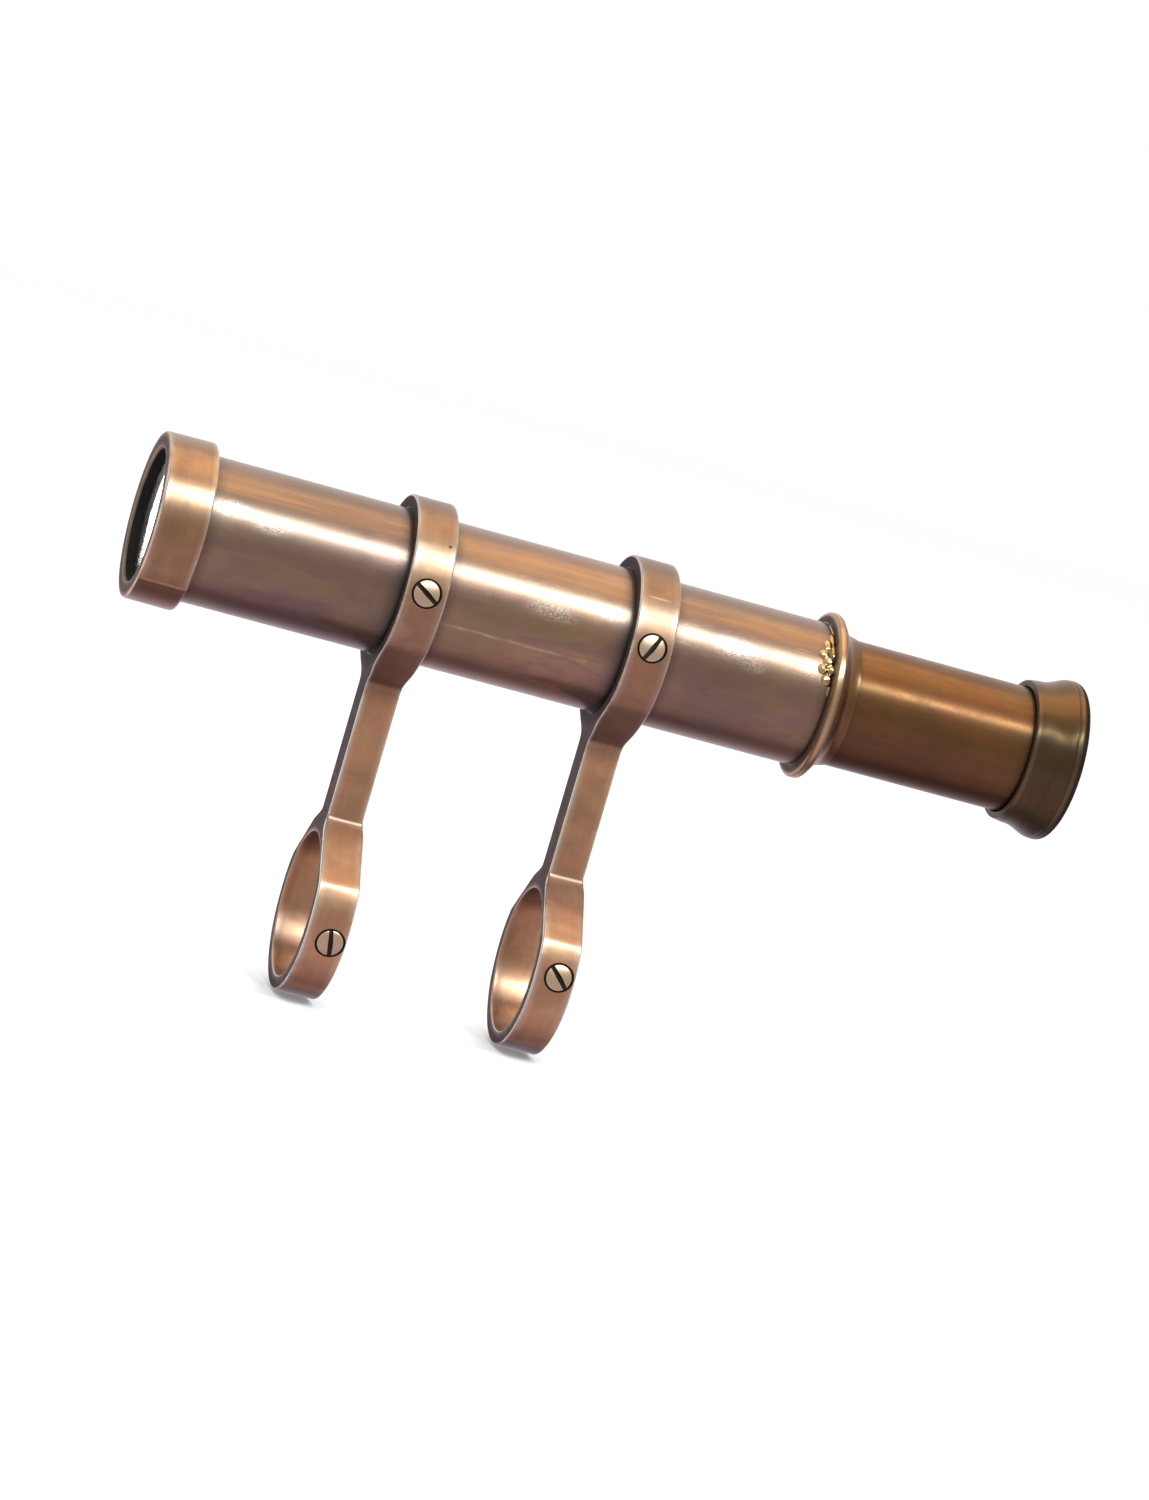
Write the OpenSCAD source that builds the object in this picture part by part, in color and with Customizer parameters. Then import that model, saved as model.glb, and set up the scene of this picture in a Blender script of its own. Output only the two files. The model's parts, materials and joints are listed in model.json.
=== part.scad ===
// Finder scope: a small drawn-tube refractor carried by two cast ring
// brackets, whose lower rings close round the tube of a larger telescope.
// Frame: X runs along the light path, objective at -X and eye end at +X.
// Z points up from the host tube to the finder. The origin is the centre of
// the front bracket's lower ring, on the host tube's axis. Millimetres.

/* [Tubes] */
// Outside diameter of the main tube
tube_d = 36.4; // [36.2:0.1:36.4]
// Wall of the main tube
tube_wall = 1.0; // [0.9:0.05:1.0]
// Outside diameter of the draw tube
draw_d = 32.0; // [31.8:0.05:32.0]
// Wall of the draw tube
draw_wall = 1.0; // [0.9:0.05:1.0]
// How far the draw tube stands out of the rear collar, up to the eyecup
draw_out = 46.8; // [42:0.2:50]

/* [Objective] */
// Outside diameter of the screw-on objective cell
cell_d = 42.0; // [41:0.5:44]
// Length of the objective cell
cell_len = 12.4; // [12:0.1:13]
// Clear opening in the cell's front lip
aperture_d = 33.0; // [31:0.5:33.5]
// Front curve of the crown lens, as a radius
crown_r1 = 150; // [130:5:200]
// Rear curve of the crown lens, as a radius
crown_r2 = 110; // [105:1:115]

/* [Eye end] */
// Largest diameter of the flared eyecup
eyecup_d = 41.0; // [40:0.1:42]
// Diameter of the eye hole
eye_hole_d = 11.0; // [9:0.5:12]
// Curve of the field lens, as a radius
field_lens_r = 26; // [25:0.5:30]
// Curve of the eye lens, as a radius
eye_lens_r = 13; // [12.5:0.5:15]

/* [Brackets] */
// Distance from the host tube's axis up to the finder's axis
axis_h = 82.5; // [75:0.5:110]
// Distance between the two brackets, centre to centre
bracket_pitch = 57.5; // [54:0.5:62]
// Width of each ring along the tube
ring_w = 10.4; // [10.2:0.1:11]
// Outside diameter of each ring
ring_d = 43.8; // [43.6:0.1:45]
// How deep the flats beside the stalk cut into the upper rings
upper_flat = 0.25; // [0.1:0.05:0.6]
// How deep the flats beside the stalk cut into the lower rings
lower_flat = 1.6; // [0.1:0.05:1.8]
// Bore of all four rings
ring_bore = 36.5; // [36.5:0.05:36.6]
// Width of the stalk along the tube
stalk_w = 9.0; // [8.4:0.1:9.4]
// Thickness of the stalk across the tube
stalk_t = 9.0; // [8:0.2:10]

/* [Clamp screws] */
// Diameter of the screw shank
screw_d = 4.0; // [3.6:0.1:4.0]
// Diameter of the slotted head
screw_head_d = 6.6; // [6.4:0.1:7.0]
// Width of the screwdriver slot
slot_w = 1.1; // [0.9:0.05:1.2]
// Angle of the front upper screw above the side of its ring
upper_front_angle = 3; // [-15:0.5:25]
// Angle of the rear upper screw above the side of its ring
upper_rear_angle = 7; // [-15:0.5:25]
// Angle of the front lower screw above the side of its ring
lower_front_angle = -11.5; // [-15:0.5:25]
// Angle of the rear lower screw above the side of its ring
lower_rear_angle = 3.5; // [-15:0.5:25]

/* [Hidden] */
$fn = 96;

tube_r = tube_d/2;
tube_inner_r = tube_r - tube_wall;
draw_r = draw_d/2;
draw_inner_r = draw_r - draw_wall;
cell_r = cell_d/2;
aperture_r = aperture_d/2;
eye_hole_r = eye_hole_d/2;
ring_r = ring_d/2;
bore_r = ring_bore/2;

// Clearances, on the radius.
run_gap = 0.05;      // running and screwed-on fits
fixed_gap = 0.02;    // parts fixed in a tube
seat_gap = 0.1;      // lenses in their seats
thread_gap = 0.06;   // retaining rings over their lens, eyecup over its spigot

// Stations along X, from the objective to the eye.
x_cell = -67.6;                     // front face of the cell
x_crown = x_cell + 3.0;             // front edge of the crown lens
x_crown_rear = x_crown + 1.3;       // rear edge of the crown lens
x_flint = x_crown_rear + 0.3;       // front edge of the flint lens
x_flint_rear = x_flint + 2.4;       // flat rear face of the flint lens
x_tube = x_cell + 8.4;              // front end of the main tube
x_baffle = -11;                     // middle of the anti-glare stop
x_stop = 73.8;                      // front end of the draw tube
x_tube_end = 104.7;                 // rear end of the main tube
x_collar_end = x_tube_end + 7.9;    // rear end of the collar's shoulder
x_cup = x_collar_end + draw_out;    // front rim of the eyecup
x_seat = x_cup + 5.1;               // end of the draw tube inside the eyecup
x_reticle = x_seat - 26.5;          // rear face of the reticle ring

// ---- Shared shapes ----
// Steps along an arc about (centre_r, centre_x), as [radius, x] pairs.
function arc(centre_r, centre_x, r, start, end, steps) =
    [for (i = [0:steps]) let (a = start + (end - start)*i/steps)
        [centre_r + r*cos(a), centre_x + r*sin(a)]];

// Height of a spherical cap of radius curve_r over a circle of radius r.
function sag(curve_r, r) = curve_r - sqrt(curve_r*curve_r - r*r);

// Points on a lens face from rim to centre; side = 1 bulges towards +X.
function lens_face(curve_r, rim_r, x_rim, side) =
    [for (i = [0:12]) let (r = rim_r*(1 - i/12))
        [r, x_rim + side*(sag(curve_r, rim_r) - sag(curve_r, r))]];

function reversed(list) = [for (i = [len(list) - 1:-1:0]) list[i]];

// Turned piece about the finder's axis, from a profile of [radius, x] pairs.
module turned(points) {
    translate([0, 0, axis_h]) rotate([0, 90, 0]) rotate_extrude() polygon(points);
}

// Plain ring or tube about the finder's axis.
module tube(outer_r, inner_r, x0, x1) {
    turned([[inner_r, x0], [outer_r, x0], [outer_r, x1], [inner_r, x1]]);
}

// ---- Objective ----
objective_r = 17.4;    // rim radius of both objective lenses

module objective_cell() {
    front_round = 0.7;
    rear_round = 0.45;
    chamfer = 0.35;
    seat_r = objective_r + seat_gap;
    x_rear = x_cell + cell_len;
    x_step = x_tube - 0.1;
    // Back of the lip, just clear of the crown lens where it bulges past.
    x_lip = x_crown - sag(crown_r1, objective_r) + sag(crown_r1, aperture_r) - 0.05;
    color("#b98552") turned(concat(
        [[aperture_r, x_cell + chamfer], [aperture_r + chamfer, x_cell]],
        arc(cell_r - front_round, x_cell + front_round, front_round, -90, 0, 6),
        arc(cell_r - rear_round, x_rear - rear_round, rear_round, 0, 90, 5),
        [[tube_r + run_gap, x_rear], [tube_r + run_gap, x_step],
         [seat_r, x_step], [seat_r, x_lip], [aperture_r, x_lip]]));
}

// Convex crown element, in front.
module crown_lens() {
    color("#dfeee9") turned(concat(
        reversed(lens_face(crown_r1, objective_r, x_crown, -1)),
        lens_face(crown_r2, objective_r, x_crown_rear, 1)));
}

// Flint element behind the crown, concave in front and flat behind.
module flint_lens() {
    color("#d3e2dc") turned(concat(
        [[0, x_flint_rear], [objective_r, x_flint_rear]],
        lens_face(crown_r2 + 1, objective_r, x_flint, 1)));
}

// Thin coned ring between the rims of the two lenses.
module lens_spacer_ring() {
    width = 0.6;
    thickness = 0.12;
    rise = width*0.155;
    x_rim = x_crown_rear + 0.13;
    inner_r = objective_r - width;
    color("#7d6a4a") turned([
        [inner_r, x_rim + rise], [objective_r, x_rim],
        [objective_r, x_rim + thickness], [inner_r, x_rim + rise + thickness]]);
}

// Threaded ring behind the lenses, with two spanner slots in its rear face.
module objective_retaining_ring() {
    width = 1.8;
    slot = [1, 2.4, 1.2];
    x_front = x_flint_rear + 0.05;
    color("#3a332c") difference() {
        tube(objective_r + thread_gap, objective_r - width, x_front, x_front + 1.2);
        for (side = [-1, 1])
            translate([x_front + 0.7, side*(objective_r - width/2) - slot.y/2, axis_h - slot.z/2])
                cube(slot);
    }
}

// ---- Main tube ----
lining_pocket_r = draw_r + 0.6;
x_spigot = x_tube_end - 10.2;         // front end of the collar's spigot
x_pocket_end = x_collar_end - 5.2;    // rear end of the lining's pocket

// Tapering shoulder of the rear collar: [radius, distance behind the main tube].
collar_shoulder = [[20.2, 2.9], [19.0, 3.6], [18.0, 4.3], [17.2, 5.2], [16.65, 6.3]];

module main_tube() {
    color("#8f6748") tube(tube_r, tube_inner_r, x_tube, x_tube_end);
}

// Anti-glare stop pressed into the main tube, thinner towards its opening.
module baffle_ring() {
    opening_r = 12.5;
    edge = 0.3;    // half thickness at the opening
    rim = 1;       // half thickness at the tube
    rim_r = tube_inner_r - fixed_gap;
    color("#2b2622") turned([[opening_r, x_baffle - edge], [rim_r, x_baffle - rim],
                             [rim_r, x_baffle + rim], [opening_r, x_baffle + edge]]);
}

// Bead and shoulder at the tube's rear end, with a spigot inside the tube.
module rear_collar() {
    guide_r = draw_r + run_gap;
    spigot_r = tube_inner_r - fixed_gap;
    color("#b08050") turned(concat(
        [[guide_r, x_pocket_end], [lining_pocket_r, x_pocket_end], [lining_pocket_r, x_spigot],
         [spigot_r, x_spigot], [spigot_r, x_tube_end], [tube_r + 1.6, x_tube_end]],
        // Front and rear halves of the bead.
        arc(20.35, x_tube_end + 0.9, 0.75, -75, 0, 5),
        arc(20.3, x_tube_end + 1.7, 0.8, 0, 50, 3),
        [for (p = collar_shoulder) [p[0], x_tube_end + p[1]]],
        [[16.3, x_collar_end], [guide_r, x_collar_end]]));
}

// Cloth lining that the draw tube runs in.
module guide_lining() {
    color("#4b2a22")
        tube(lining_pocket_r - fixed_gap, draw_r + 0.04, x_spigot + 0.2, x_pocket_end - 0.1);
}

// ---- Draw tube ----
module draw_tube() {
    color("#936a3d") tube(draw_r, draw_inner_r, x_stop, x_seat);
}

// Soldered ring that stops the draw tube from leaving the collar.
module draw_tube_stop_ring() {
    color("#8a6a45") tube(tube_inner_r - run_gap, draw_r, x_stop, x_stop + 4);
}

// Upright and level rods, crossing on the rear face of the reticle ring.
module crossed_rods(rod_r, length) {
    for (a = [0, 90])
        translate([x_reticle, 0, axis_h]) rotate([a, 0, 0])
            cylinder(r = rod_r, h = length, center = true, $fn = 24);
}

// Field stop that carries the cross wires in two scribed grooves.
module reticle_ring() {
    color("#2f2a25") difference() {
        tube(draw_inner_r - fixed_gap, 10, x_reticle - 3.5, x_reticle);
        crossed_rods(0.12, 40);
    }
}

module crosswires() {
    color("#1d1d1d") crossed_rods(0.09, 28);
}

// ---- Eyepiece ----
field_rim_r = 12.8;              // rim radius of the field lens
eye_rim_r = 8.0;                 // rim radius of the eye lens
spigot_r = 9.5;                  // spigot that screws into the eyecup's web
x_barrel = x_seat - 22.5;        // front end of the barrel
x_field = x_seat - 20.9;         // flat front face of the field lens
x_eye_seat = x_seat - 2.5;       // rear end of the eye lens's pocket
x_eye_flat = x_eye_seat - 0.05;  // flat rear face of the eye lens

// Lens barrel of the eyepiece, with its spigot at the rear.
module eyepiece_tube() {
    barrel_r = draw_inner_r - run_gap;
    field_seat_r = field_rim_r + seat_gap;
    eye_seat_r = eye_rim_r + seat_gap;
    passage_r = 11.8;    // between the two lens pockets
    chamfer = 0.7;
    x_field_seat = x_seat - 18.7;
    x_eye_pocket = x_seat - 12.5;
    x_rear = x_seat + 2;
    color("#a07a48") turned([
        [field_seat_r, x_barrel], [barrel_r, x_barrel], [barrel_r, x_seat],
        [spigot_r, x_seat], [spigot_r, x_rear],
        [eye_hole_r + chamfer, x_rear], [eye_hole_r, x_rear - chamfer],
        [eye_hole_r, x_eye_seat], [eye_seat_r, x_eye_seat], [eye_seat_r, x_eye_pocket],
        [passage_r, x_eye_pocket], [passage_r, x_field_seat], [field_seat_r, x_field_seat]]);
}

// Flat side to the objective, convex side to the eye lens.
module field_lens() {
    edge = 1.5;
    color("#dfeee9") turned(concat(
        [[0, x_field], [field_rim_r, x_field]],
        lens_face(field_lens_r, field_rim_r, x_field + edge, 1)));
}

module field_lens_retaining_ring() {
    color("#a07a48") tube(field_rim_r + thread_gap, 11.2, x_barrel, x_field - 0.1);
}

// Flat side to the eye, convex side to the field lens.
module eye_lens() {
    edge = 1.2;
    color("#dfeee9") turned(concat(
        reversed(lens_face(eye_lens_r, eye_rim_r, x_eye_flat - edge, -1)),
        [[eye_rim_r, x_eye_flat], [0, x_eye_flat]]));
}

module eye_lens_retaining_ring() {
    color("#a07a48") tube(eye_rim_r + thread_gap, 6.8, x_seat - 6.4, x_seat - 4.8);
}

// Eyecup from its front rim, over the flare and into the dished back:
// [radius, distance behind the front rim, share of the flare's growth].
// The radii are for a flare of radius 20.5.
eyecup_base_r = 20.5;
eyecup_outline = [
    [17.55, 0, 0], [17.8, 0.12, 0], [17.95, 0.5, 0], [18.1, 1.2, 0], [18.25, 2.2, 0],
    [18.33, 3.4, 0], [18.45, 4.5, 0], [18.7, 5.6, 0], [19.1, 6.7, 0.5], [19.55, 7.7, 1],
    [19.98, 8.7, 1], [20.3, 9.6, 1], [20.47, 10.4, 1], [20.5, 11.2, 1], [20.4, 12.0, 1],
    [20.1, 12.7, 1], [19.6, 13.15, 1], [19.0, 13.3, 1], [18.4, 13.1, 1], [17.6, 12.45, 1],
    [16.4, 11.3, 0], [15.1, 10.2, 0], [13.6, 9.2, 0], [11.9, 8.25, 0], [10.5, 7.6, 0]];

// Spool-shaped eyecup that screws over the draw tube's end.
module eyecup() {
    growth = eyecup_d/2 - eyecup_base_r;
    socket_r = draw_r + run_gap;
    web_hole_r = spigot_r + thread_gap;
    x_web = x_seat + 0.1;
    color("#8c6b3f") turned(concat(
        [[socket_r, x_cup]],
        [for (p = eyecup_outline) [p[0] + growth*p[2], x_cup + p[1]]],
        [[web_hole_r, x_cup + 7.3], [web_hole_r, x_web], [socket_r, x_web]]));
}

// ---- Brackets ----
flat_normal_y = 0.669;    // direction square to the flats beside the stalk
flat_normal_z = sqrt(1 - flat_normal_y*flat_normal_y);
upper_flat_dist = ring_r - upper_flat;    // ring centre to flat
lower_flat_dist = ring_r - lower_flat;

// Height at sideways distance y of a flat that passes dist from the ring's centre.
function flat_z(dist, y) = (dist - flat_normal_y*y)/flat_normal_z;

// Outline of one ring with the two flats that run into the stalk, in [y, z].
module ring_outline(dist) {
    w = ring_r + 8;
    intersection() {
        circle(r = ring_r);
        polygon([[-w, -w], [w, -w], [w, flat_z(dist, w)], [0, flat_z(dist, 0)],
                 [-w, flat_z(dist, w)]]);
    }
}

// Stalk and necks in one plate outline, in [y, z].
module stalk_outline() {
    stalk_y = stalk_t/2;
    neck_y = 0.775*ring_r;
    half = concat(
        [for (y = [neck_y, stalk_y]) [y, flat_z(lower_flat_dist, y)]],
        [for (y = [stalk_y, neck_y]) [y, axis_h - flat_z(upper_flat_dist, y)]]);
    polygon(concat(half, [for (p = reversed(half)) [-p[0], p[1]]]));
}

// Plate of a [y, z] outline, centred on x and raised by z.
module plate(x, z, width) {
    translate([x - width/2, 0, z]) rotate([90, 0, 90]) linear_extrude(width) children();
}

module bracket(x, upper_angle, lower_angle, lower_dx) {
    difference() {
        union() {
            plate(x, 0, ring_w) ring_outline(lower_flat_dist);
            plate(x, axis_h, ring_w) rotate([0, 0, 180]) ring_outline(upper_flat_dist);
            plate(x, 0, stalk_w) stalk_outline();
        }
        for (z = [0, axis_h])
            translate([x - 15, 0, z]) rotate([0, 90, 0]) cylinder(r = bore_r, h = 30);
        screw_hole(x, axis_h, upper_angle);
        screw_hole(x + lower_dx, 0, lower_angle);
    }
}

module front_bracket() {
    color("#b07a4c") bracket(0, upper_front_angle, lower_front_angle, lower_front_dx);
}

module rear_bracket() {
    color("#b07a4c") bracket(bracket_pitch, upper_rear_angle, lower_rear_angle, lower_rear_dx);
}

// ---- Clamp screws ----
screw_r = screw_d/2;
head_r = screw_head_d/2;
// Distances from the ring's axis.
head_base = 20.95;               // underside of the head
head_rim = head_base + 0.8;      // where the head's dome starts
upper_tip = bore_r + fixed_gap;
lower_tip = bore_r + 0.1;
// How far the lower screws sit behind the middle of their rings.
lower_front_dx = 1.2;
lower_rear_dx = 0.9;

// Turns +Z outward along a screw, at an angle above the ring's -Y side.
module at_screw(x, z, angle) {
    translate([x, 0, z]) rotate([90 - angle, 0, 0]) children();
}

// Shank hole and the recess for the head.
module screw_hole(x, z, angle) {
    at_screw(x, z, angle) {
        translate([0, 0, 15]) cylinder(r = screw_r + run_gap, h = 10);
        translate([0, 0, head_base - 0.05]) cylinder(r = head_r + 0.2, h = 5);
    }
}

// Slotted screw with a low domed head. tip is the distance from the ring's
// axis to the point; slot_turn is the angle of the slot.
module clamp_screw(x, z, angle, tip, slot_turn) {
    chamfer = 0.4;
    dome_h = 0.85;
    color("#c99b6a") at_screw(x, z, angle) difference() {
        rotate_extrude() polygon(concat(
            [[0, tip], [screw_r - chamfer, tip], [screw_r, tip + chamfer],
             [screw_r, head_base], [head_r, head_base], [head_r, head_rim]],
            [for (i = [1:6]) let (share = 1 - i/6)
                [head_r*share, head_rim + dome_h*(1 - share*share)]]));
        rotate([0, 0, slot_turn]) translate([-5, -slot_w/2, head_rim - 0.25])
            cube([10, slot_w, 3]);
    }
}

module upper_front_screw() {
    clamp_screw(0, axis_h, upper_front_angle, upper_tip, -33);
}

module upper_rear_screw() {
    clamp_screw(bracket_pitch, axis_h, upper_rear_angle, upper_tip, 64);
}

module lower_front_screw() {
    clamp_screw(lower_front_dx, 0, lower_front_angle, lower_tip, 102);
}

module lower_rear_screw() {
    clamp_screw(bracket_pitch + lower_rear_dx, 0, lower_rear_angle, lower_tip, -46);
}

objective_cell();
crown_lens();
flint_lens();
lens_spacer_ring();
objective_retaining_ring();
main_tube();
baffle_ring();
rear_collar();
guide_lining();
draw_tube();
draw_tube_stop_ring();
reticle_ring();
crosswires();
eyepiece_tube();
field_lens();
field_lens_retaining_ring();
eye_lens();
eye_lens_retaining_ring();
eyecup();
front_bracket();
rear_bracket();
upper_front_screw();
upper_rear_screw();
lower_front_screw();
lower_rear_screw();
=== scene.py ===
"""A brass finder scope on two ring brackets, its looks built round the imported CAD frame.

The finder lies along x: the objective end at low x, the eyecup at high x, its axis at y = 0 and
height AXIS_Z. Each bracket has one ring round the finder and another round z = 0, joined by a
stalk. The camera stands on the -y side. Lengths are in mm unless a name or comment says metres.
"""
import bpy
import bmesh
import json
import math
from types import SimpleNamespace
from mathutils import Vector, Matrix, noise, kdtree
from mathutils.geometry import delaunay_2d_cdt

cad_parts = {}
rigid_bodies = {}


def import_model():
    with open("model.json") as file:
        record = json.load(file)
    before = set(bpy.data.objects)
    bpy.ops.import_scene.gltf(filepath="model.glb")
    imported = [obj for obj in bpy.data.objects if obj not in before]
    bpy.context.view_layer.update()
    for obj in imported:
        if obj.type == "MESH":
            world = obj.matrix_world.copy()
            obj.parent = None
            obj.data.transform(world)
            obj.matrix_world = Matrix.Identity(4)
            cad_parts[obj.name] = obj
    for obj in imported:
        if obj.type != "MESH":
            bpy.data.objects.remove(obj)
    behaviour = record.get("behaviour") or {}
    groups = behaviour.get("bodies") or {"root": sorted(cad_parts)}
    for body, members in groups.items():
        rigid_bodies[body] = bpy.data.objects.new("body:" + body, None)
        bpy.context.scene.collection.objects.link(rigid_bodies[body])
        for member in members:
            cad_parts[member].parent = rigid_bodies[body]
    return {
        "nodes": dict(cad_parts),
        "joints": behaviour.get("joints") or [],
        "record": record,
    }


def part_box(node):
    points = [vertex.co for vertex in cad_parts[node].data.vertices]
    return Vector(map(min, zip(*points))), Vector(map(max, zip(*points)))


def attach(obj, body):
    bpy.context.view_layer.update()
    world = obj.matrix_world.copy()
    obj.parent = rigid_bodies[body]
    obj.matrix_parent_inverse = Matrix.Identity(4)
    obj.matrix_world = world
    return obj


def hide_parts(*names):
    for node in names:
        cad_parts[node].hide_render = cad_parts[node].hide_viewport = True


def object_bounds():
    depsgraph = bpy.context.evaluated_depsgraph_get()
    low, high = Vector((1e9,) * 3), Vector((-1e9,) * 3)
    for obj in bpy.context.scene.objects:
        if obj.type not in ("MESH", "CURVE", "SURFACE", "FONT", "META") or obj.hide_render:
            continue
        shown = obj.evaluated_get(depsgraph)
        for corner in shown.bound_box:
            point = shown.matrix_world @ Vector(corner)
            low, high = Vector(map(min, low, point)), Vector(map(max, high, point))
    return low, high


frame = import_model()
cad_lo, cad_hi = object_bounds()
MM = 0.001
TAU = 2 * math.pi


# ---------------------------------------------------------------- dimensions from the frame
def box_mm(node):
    low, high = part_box(node)
    return low / MM, high / MM


def half_height(low, high):
    return (high.z - low.z) / 2


TUBE_LO, TUBE_HI = box_mm("main_tube")
CELL_LO, CELL_HI = box_mm("objective_cell")
COLLAR_LO, COLLAR_HI = box_mm("rear_collar")
DRAW_LO, DRAW_HI = box_mm("draw_tube")
CUP_LO, CUP_HI = box_mm("eyecup")
FRONT_LO, FRONT_HI = box_mm("front_bracket")
REAR_LO, REAR_HI = box_mm("rear_bracket")
SCREW_LO, SCREW_HI = box_mm("upper_front_screw")
AXIS_Z = (TUBE_LO.z + TUBE_HI.z) / 2
TUBE_R = half_height(TUBE_LO, TUBE_HI)
CELL_R = half_height(CELL_LO, CELL_HI)
DRAW_R = half_height(DRAW_LO, DRAW_HI)
CUP_R = half_height(CUP_LO, CUP_HI)
LENS_FRONT = box_mm("crown_lens")[0].x
joints = {joint["name"]: joint for joint in frame["joints"]}
mounts = {mount["name"]: mount for mount in frame["record"]["mounts"]}
BORE_R = mounts["front_ring"]["dims"]["r_mm"]
RING_R = -FRONT_LO.z
RING_W = FRONT_HI.x - FRONT_LO.x
HEAD_R = (SCREW_HI.x - SCREW_LO.x) / 2

# Seam of the objective cell, in degrees upwards from the camera side
SEAM_DEG = -41.0

# Bracket outline: flats cut on the rings run into a straight stalk
FLAT_NY = 0.669                              # y and z parts of a flat's normal
FLAT_NZ = math.sqrt(1 - FLAT_NY * FLAT_NY)
LOWER_FLAT_R = RING_R - 1.6                  # distance of the flats from their ring's centre
UPPER_FLAT_R = RING_R - 0.25
STALK_HALF = 4.5
CREASE_Z = (LOWER_FLAT_R - FLAT_NY * STALK_HALF) / FLAT_NZ   # lower flats meet the stalk here


# ---------------------------------------------------------------- shader nodes
def rgba(value):
    return (*value, 1) if isinstance(value, tuple) else value


class Nodes:
    """An emptied node tree, with short calls for the nodes that the materials share."""

    def __init__(self, tree):
        tree.nodes.clear()
        self.tree = tree

    def add(self, kind, **settings):
        node = self.tree.nodes.new(kind)
        for key, value in settings.items():
            setattr(node, key, value)
        return node

    def put(self, socket, value):
        """Link a socket, or set a plain value."""
        if isinstance(value, bpy.types.NodeSocket):
            self.tree.links.new(value, socket)
        else:
            socket.default_value = value

    def put_all(self, node, values):
        for key, value in values.items():
            self.put(node.inputs[key], value)

    def math(self, operation, a, b=0.0, clamp=False):
        node = self.add("ShaderNodeMath", operation=operation, use_clamp=clamp)
        self.put(node.inputs[0], a)
        self.put(node.inputs[1], b)
        return node.outputs[0]

    def plus(self, a, b):
        return self.math("ADD", a, b)

    def minus(self, a, b, clamp=False):
        return self.math("SUBTRACT", a, b, clamp)

    def times(self, a, b, clamp=False):
        return self.math("MULTIPLY", a, b, clamp)

    def over(self, a, b, clamp=False):
        return self.math("DIVIDE", a, b, clamp)

    def mix(self, factor, a, b, blend="MIX"):
        node = self.add("ShaderNodeMix", data_type="RGBA", blend_type=blend)
        node.clamp_factor = True
        self.put(node.inputs["Factor"], factor)
        self.put(node.inputs[6], rgba(a))
        self.put(node.inputs[7], rgba(b))
        return node.outputs[2]

    def tint(self, colour, mask, amount, towards):
        """Move a colour towards another by mask times amount."""
        return self.mix(self.times(mask, amount), colour, towards)

    def ramp(self, value, stops):
        """Stops are (position, grey or colour)."""
        node = self.add("ShaderNodeValToRGB")
        elements = node.color_ramp.elements
        while len(elements) < len(stops):
            elements.new(0.5)
        for element, (position, level) in zip(elements, stops):
            element.position = position
            element.color = rgba(level if isinstance(level, tuple) else (level,) * 3)
        self.put(node.inputs[0], value)
        return node.outputs[0]

    def rise(self, value, between, floor=0.0, top=1.0):
        return self.ramp(value, [(between[0], floor), (between[1], top)])

    def fall(self, value, between):
        return self.ramp(value, [(between[0], 1.0), (between[1], 0.0)])

    def ramp_over(self, value, stops, low, high):
        """A ramp over low to high, with its stops in the value's own unit."""
        length = high - low
        share = self.over(self.plus(value, -low), length)
        return self.ramp(share, [((at - low) / length, level) for at, level in stops])

    def ramp_past(self, value, stops, start, length, clamp=False):
        """A ramp that begins at start, with its stops measured from there."""
        share = self.over(self.minus(value, start), length, clamp)
        return self.ramp(share, [(at / length, level) for at, level in stops])

    def noise(self, scale, offset=(0, 0, 0), detail=3.0, rough=0.55, distortion=0.0):
        """Noise over the object position in mm times scale."""
        coords = self.add("ShaderNodeTexCoord")
        mapping = self.add("ShaderNodeMapping")
        self.put_all(mapping, {"Vector": coords.outputs["Object"], "Location": offset,
                               "Scale": tuple(1000 * s for s in scale)})
        node = self.add("ShaderNodeTexNoise")
        self.put_all(node, {"Vector": mapping.outputs["Vector"], "Scale": 1.0, "Detail": detail,
                            "Roughness": rough, "Distortion": distortion})
        return node.outputs["Fac"]

    def position(self, space="Object"):
        """Sockets of x, y and z, in metres for object space."""
        coords = self.add("ShaderNodeTexCoord")
        split = self.add("ShaderNodeSeparateXYZ")
        self.put(split.inputs[0], coords.outputs[space])
        return split.outputs["X"], split.outputs["Y"], split.outputs["Z"]

    def mm(self, metres):
        return self.times(metres, 1000.0)

    def around(self, position, radius):
        """Distance round the finder in mm, counted upwards from the camera side."""
        _, y, z = position
        angle = self.math("ARCTAN2", self.minus(z, AXIS_Z * MM), self.times(y, -1.0))
        return self.times(angle, radius)

    def unroll(self, radius):
        """Distances along and round the finder in mm."""
        position = self.position()
        return self.mm(position[0]), self.around(position, radius)

    def height(self, around, radius):
        """Sine of the angle above the axis."""
        return self.math("SINE", self.over(around, radius))

    def height_share(self, around, radius):
        """0 at the underside, 1 at the top."""
        return self.plus(self.times(self.height(around, radius), 0.5), 0.5)

    def blot(self, place, centre, size, soft=0.5):
        """Elliptical mask with half axes size; soft is the width of its faded edge."""
        u, v = [self.over(self.minus(place[i], centre[i]), size[i]) for i in (0, 1)]
        distance = self.math("SQRT", self.plus(self.times(u, u), self.times(v, v)))
        return self.over(self.minus(1.0, distance), soft, clamp=True)

    def attr(self, name):
        return self.add("ShaderNodeAttribute", attribute_name=name).outputs["Fac"]

    def bump(self, shader, height, strength, distance_mm):
        node = self.add("ShaderNodeBump")
        self.put_all(node, {"Strength": strength, "Distance": distance_mm * MM,
                            "Height": height})
        self.put(shader.inputs["Normal"], node.outputs[0])


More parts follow.
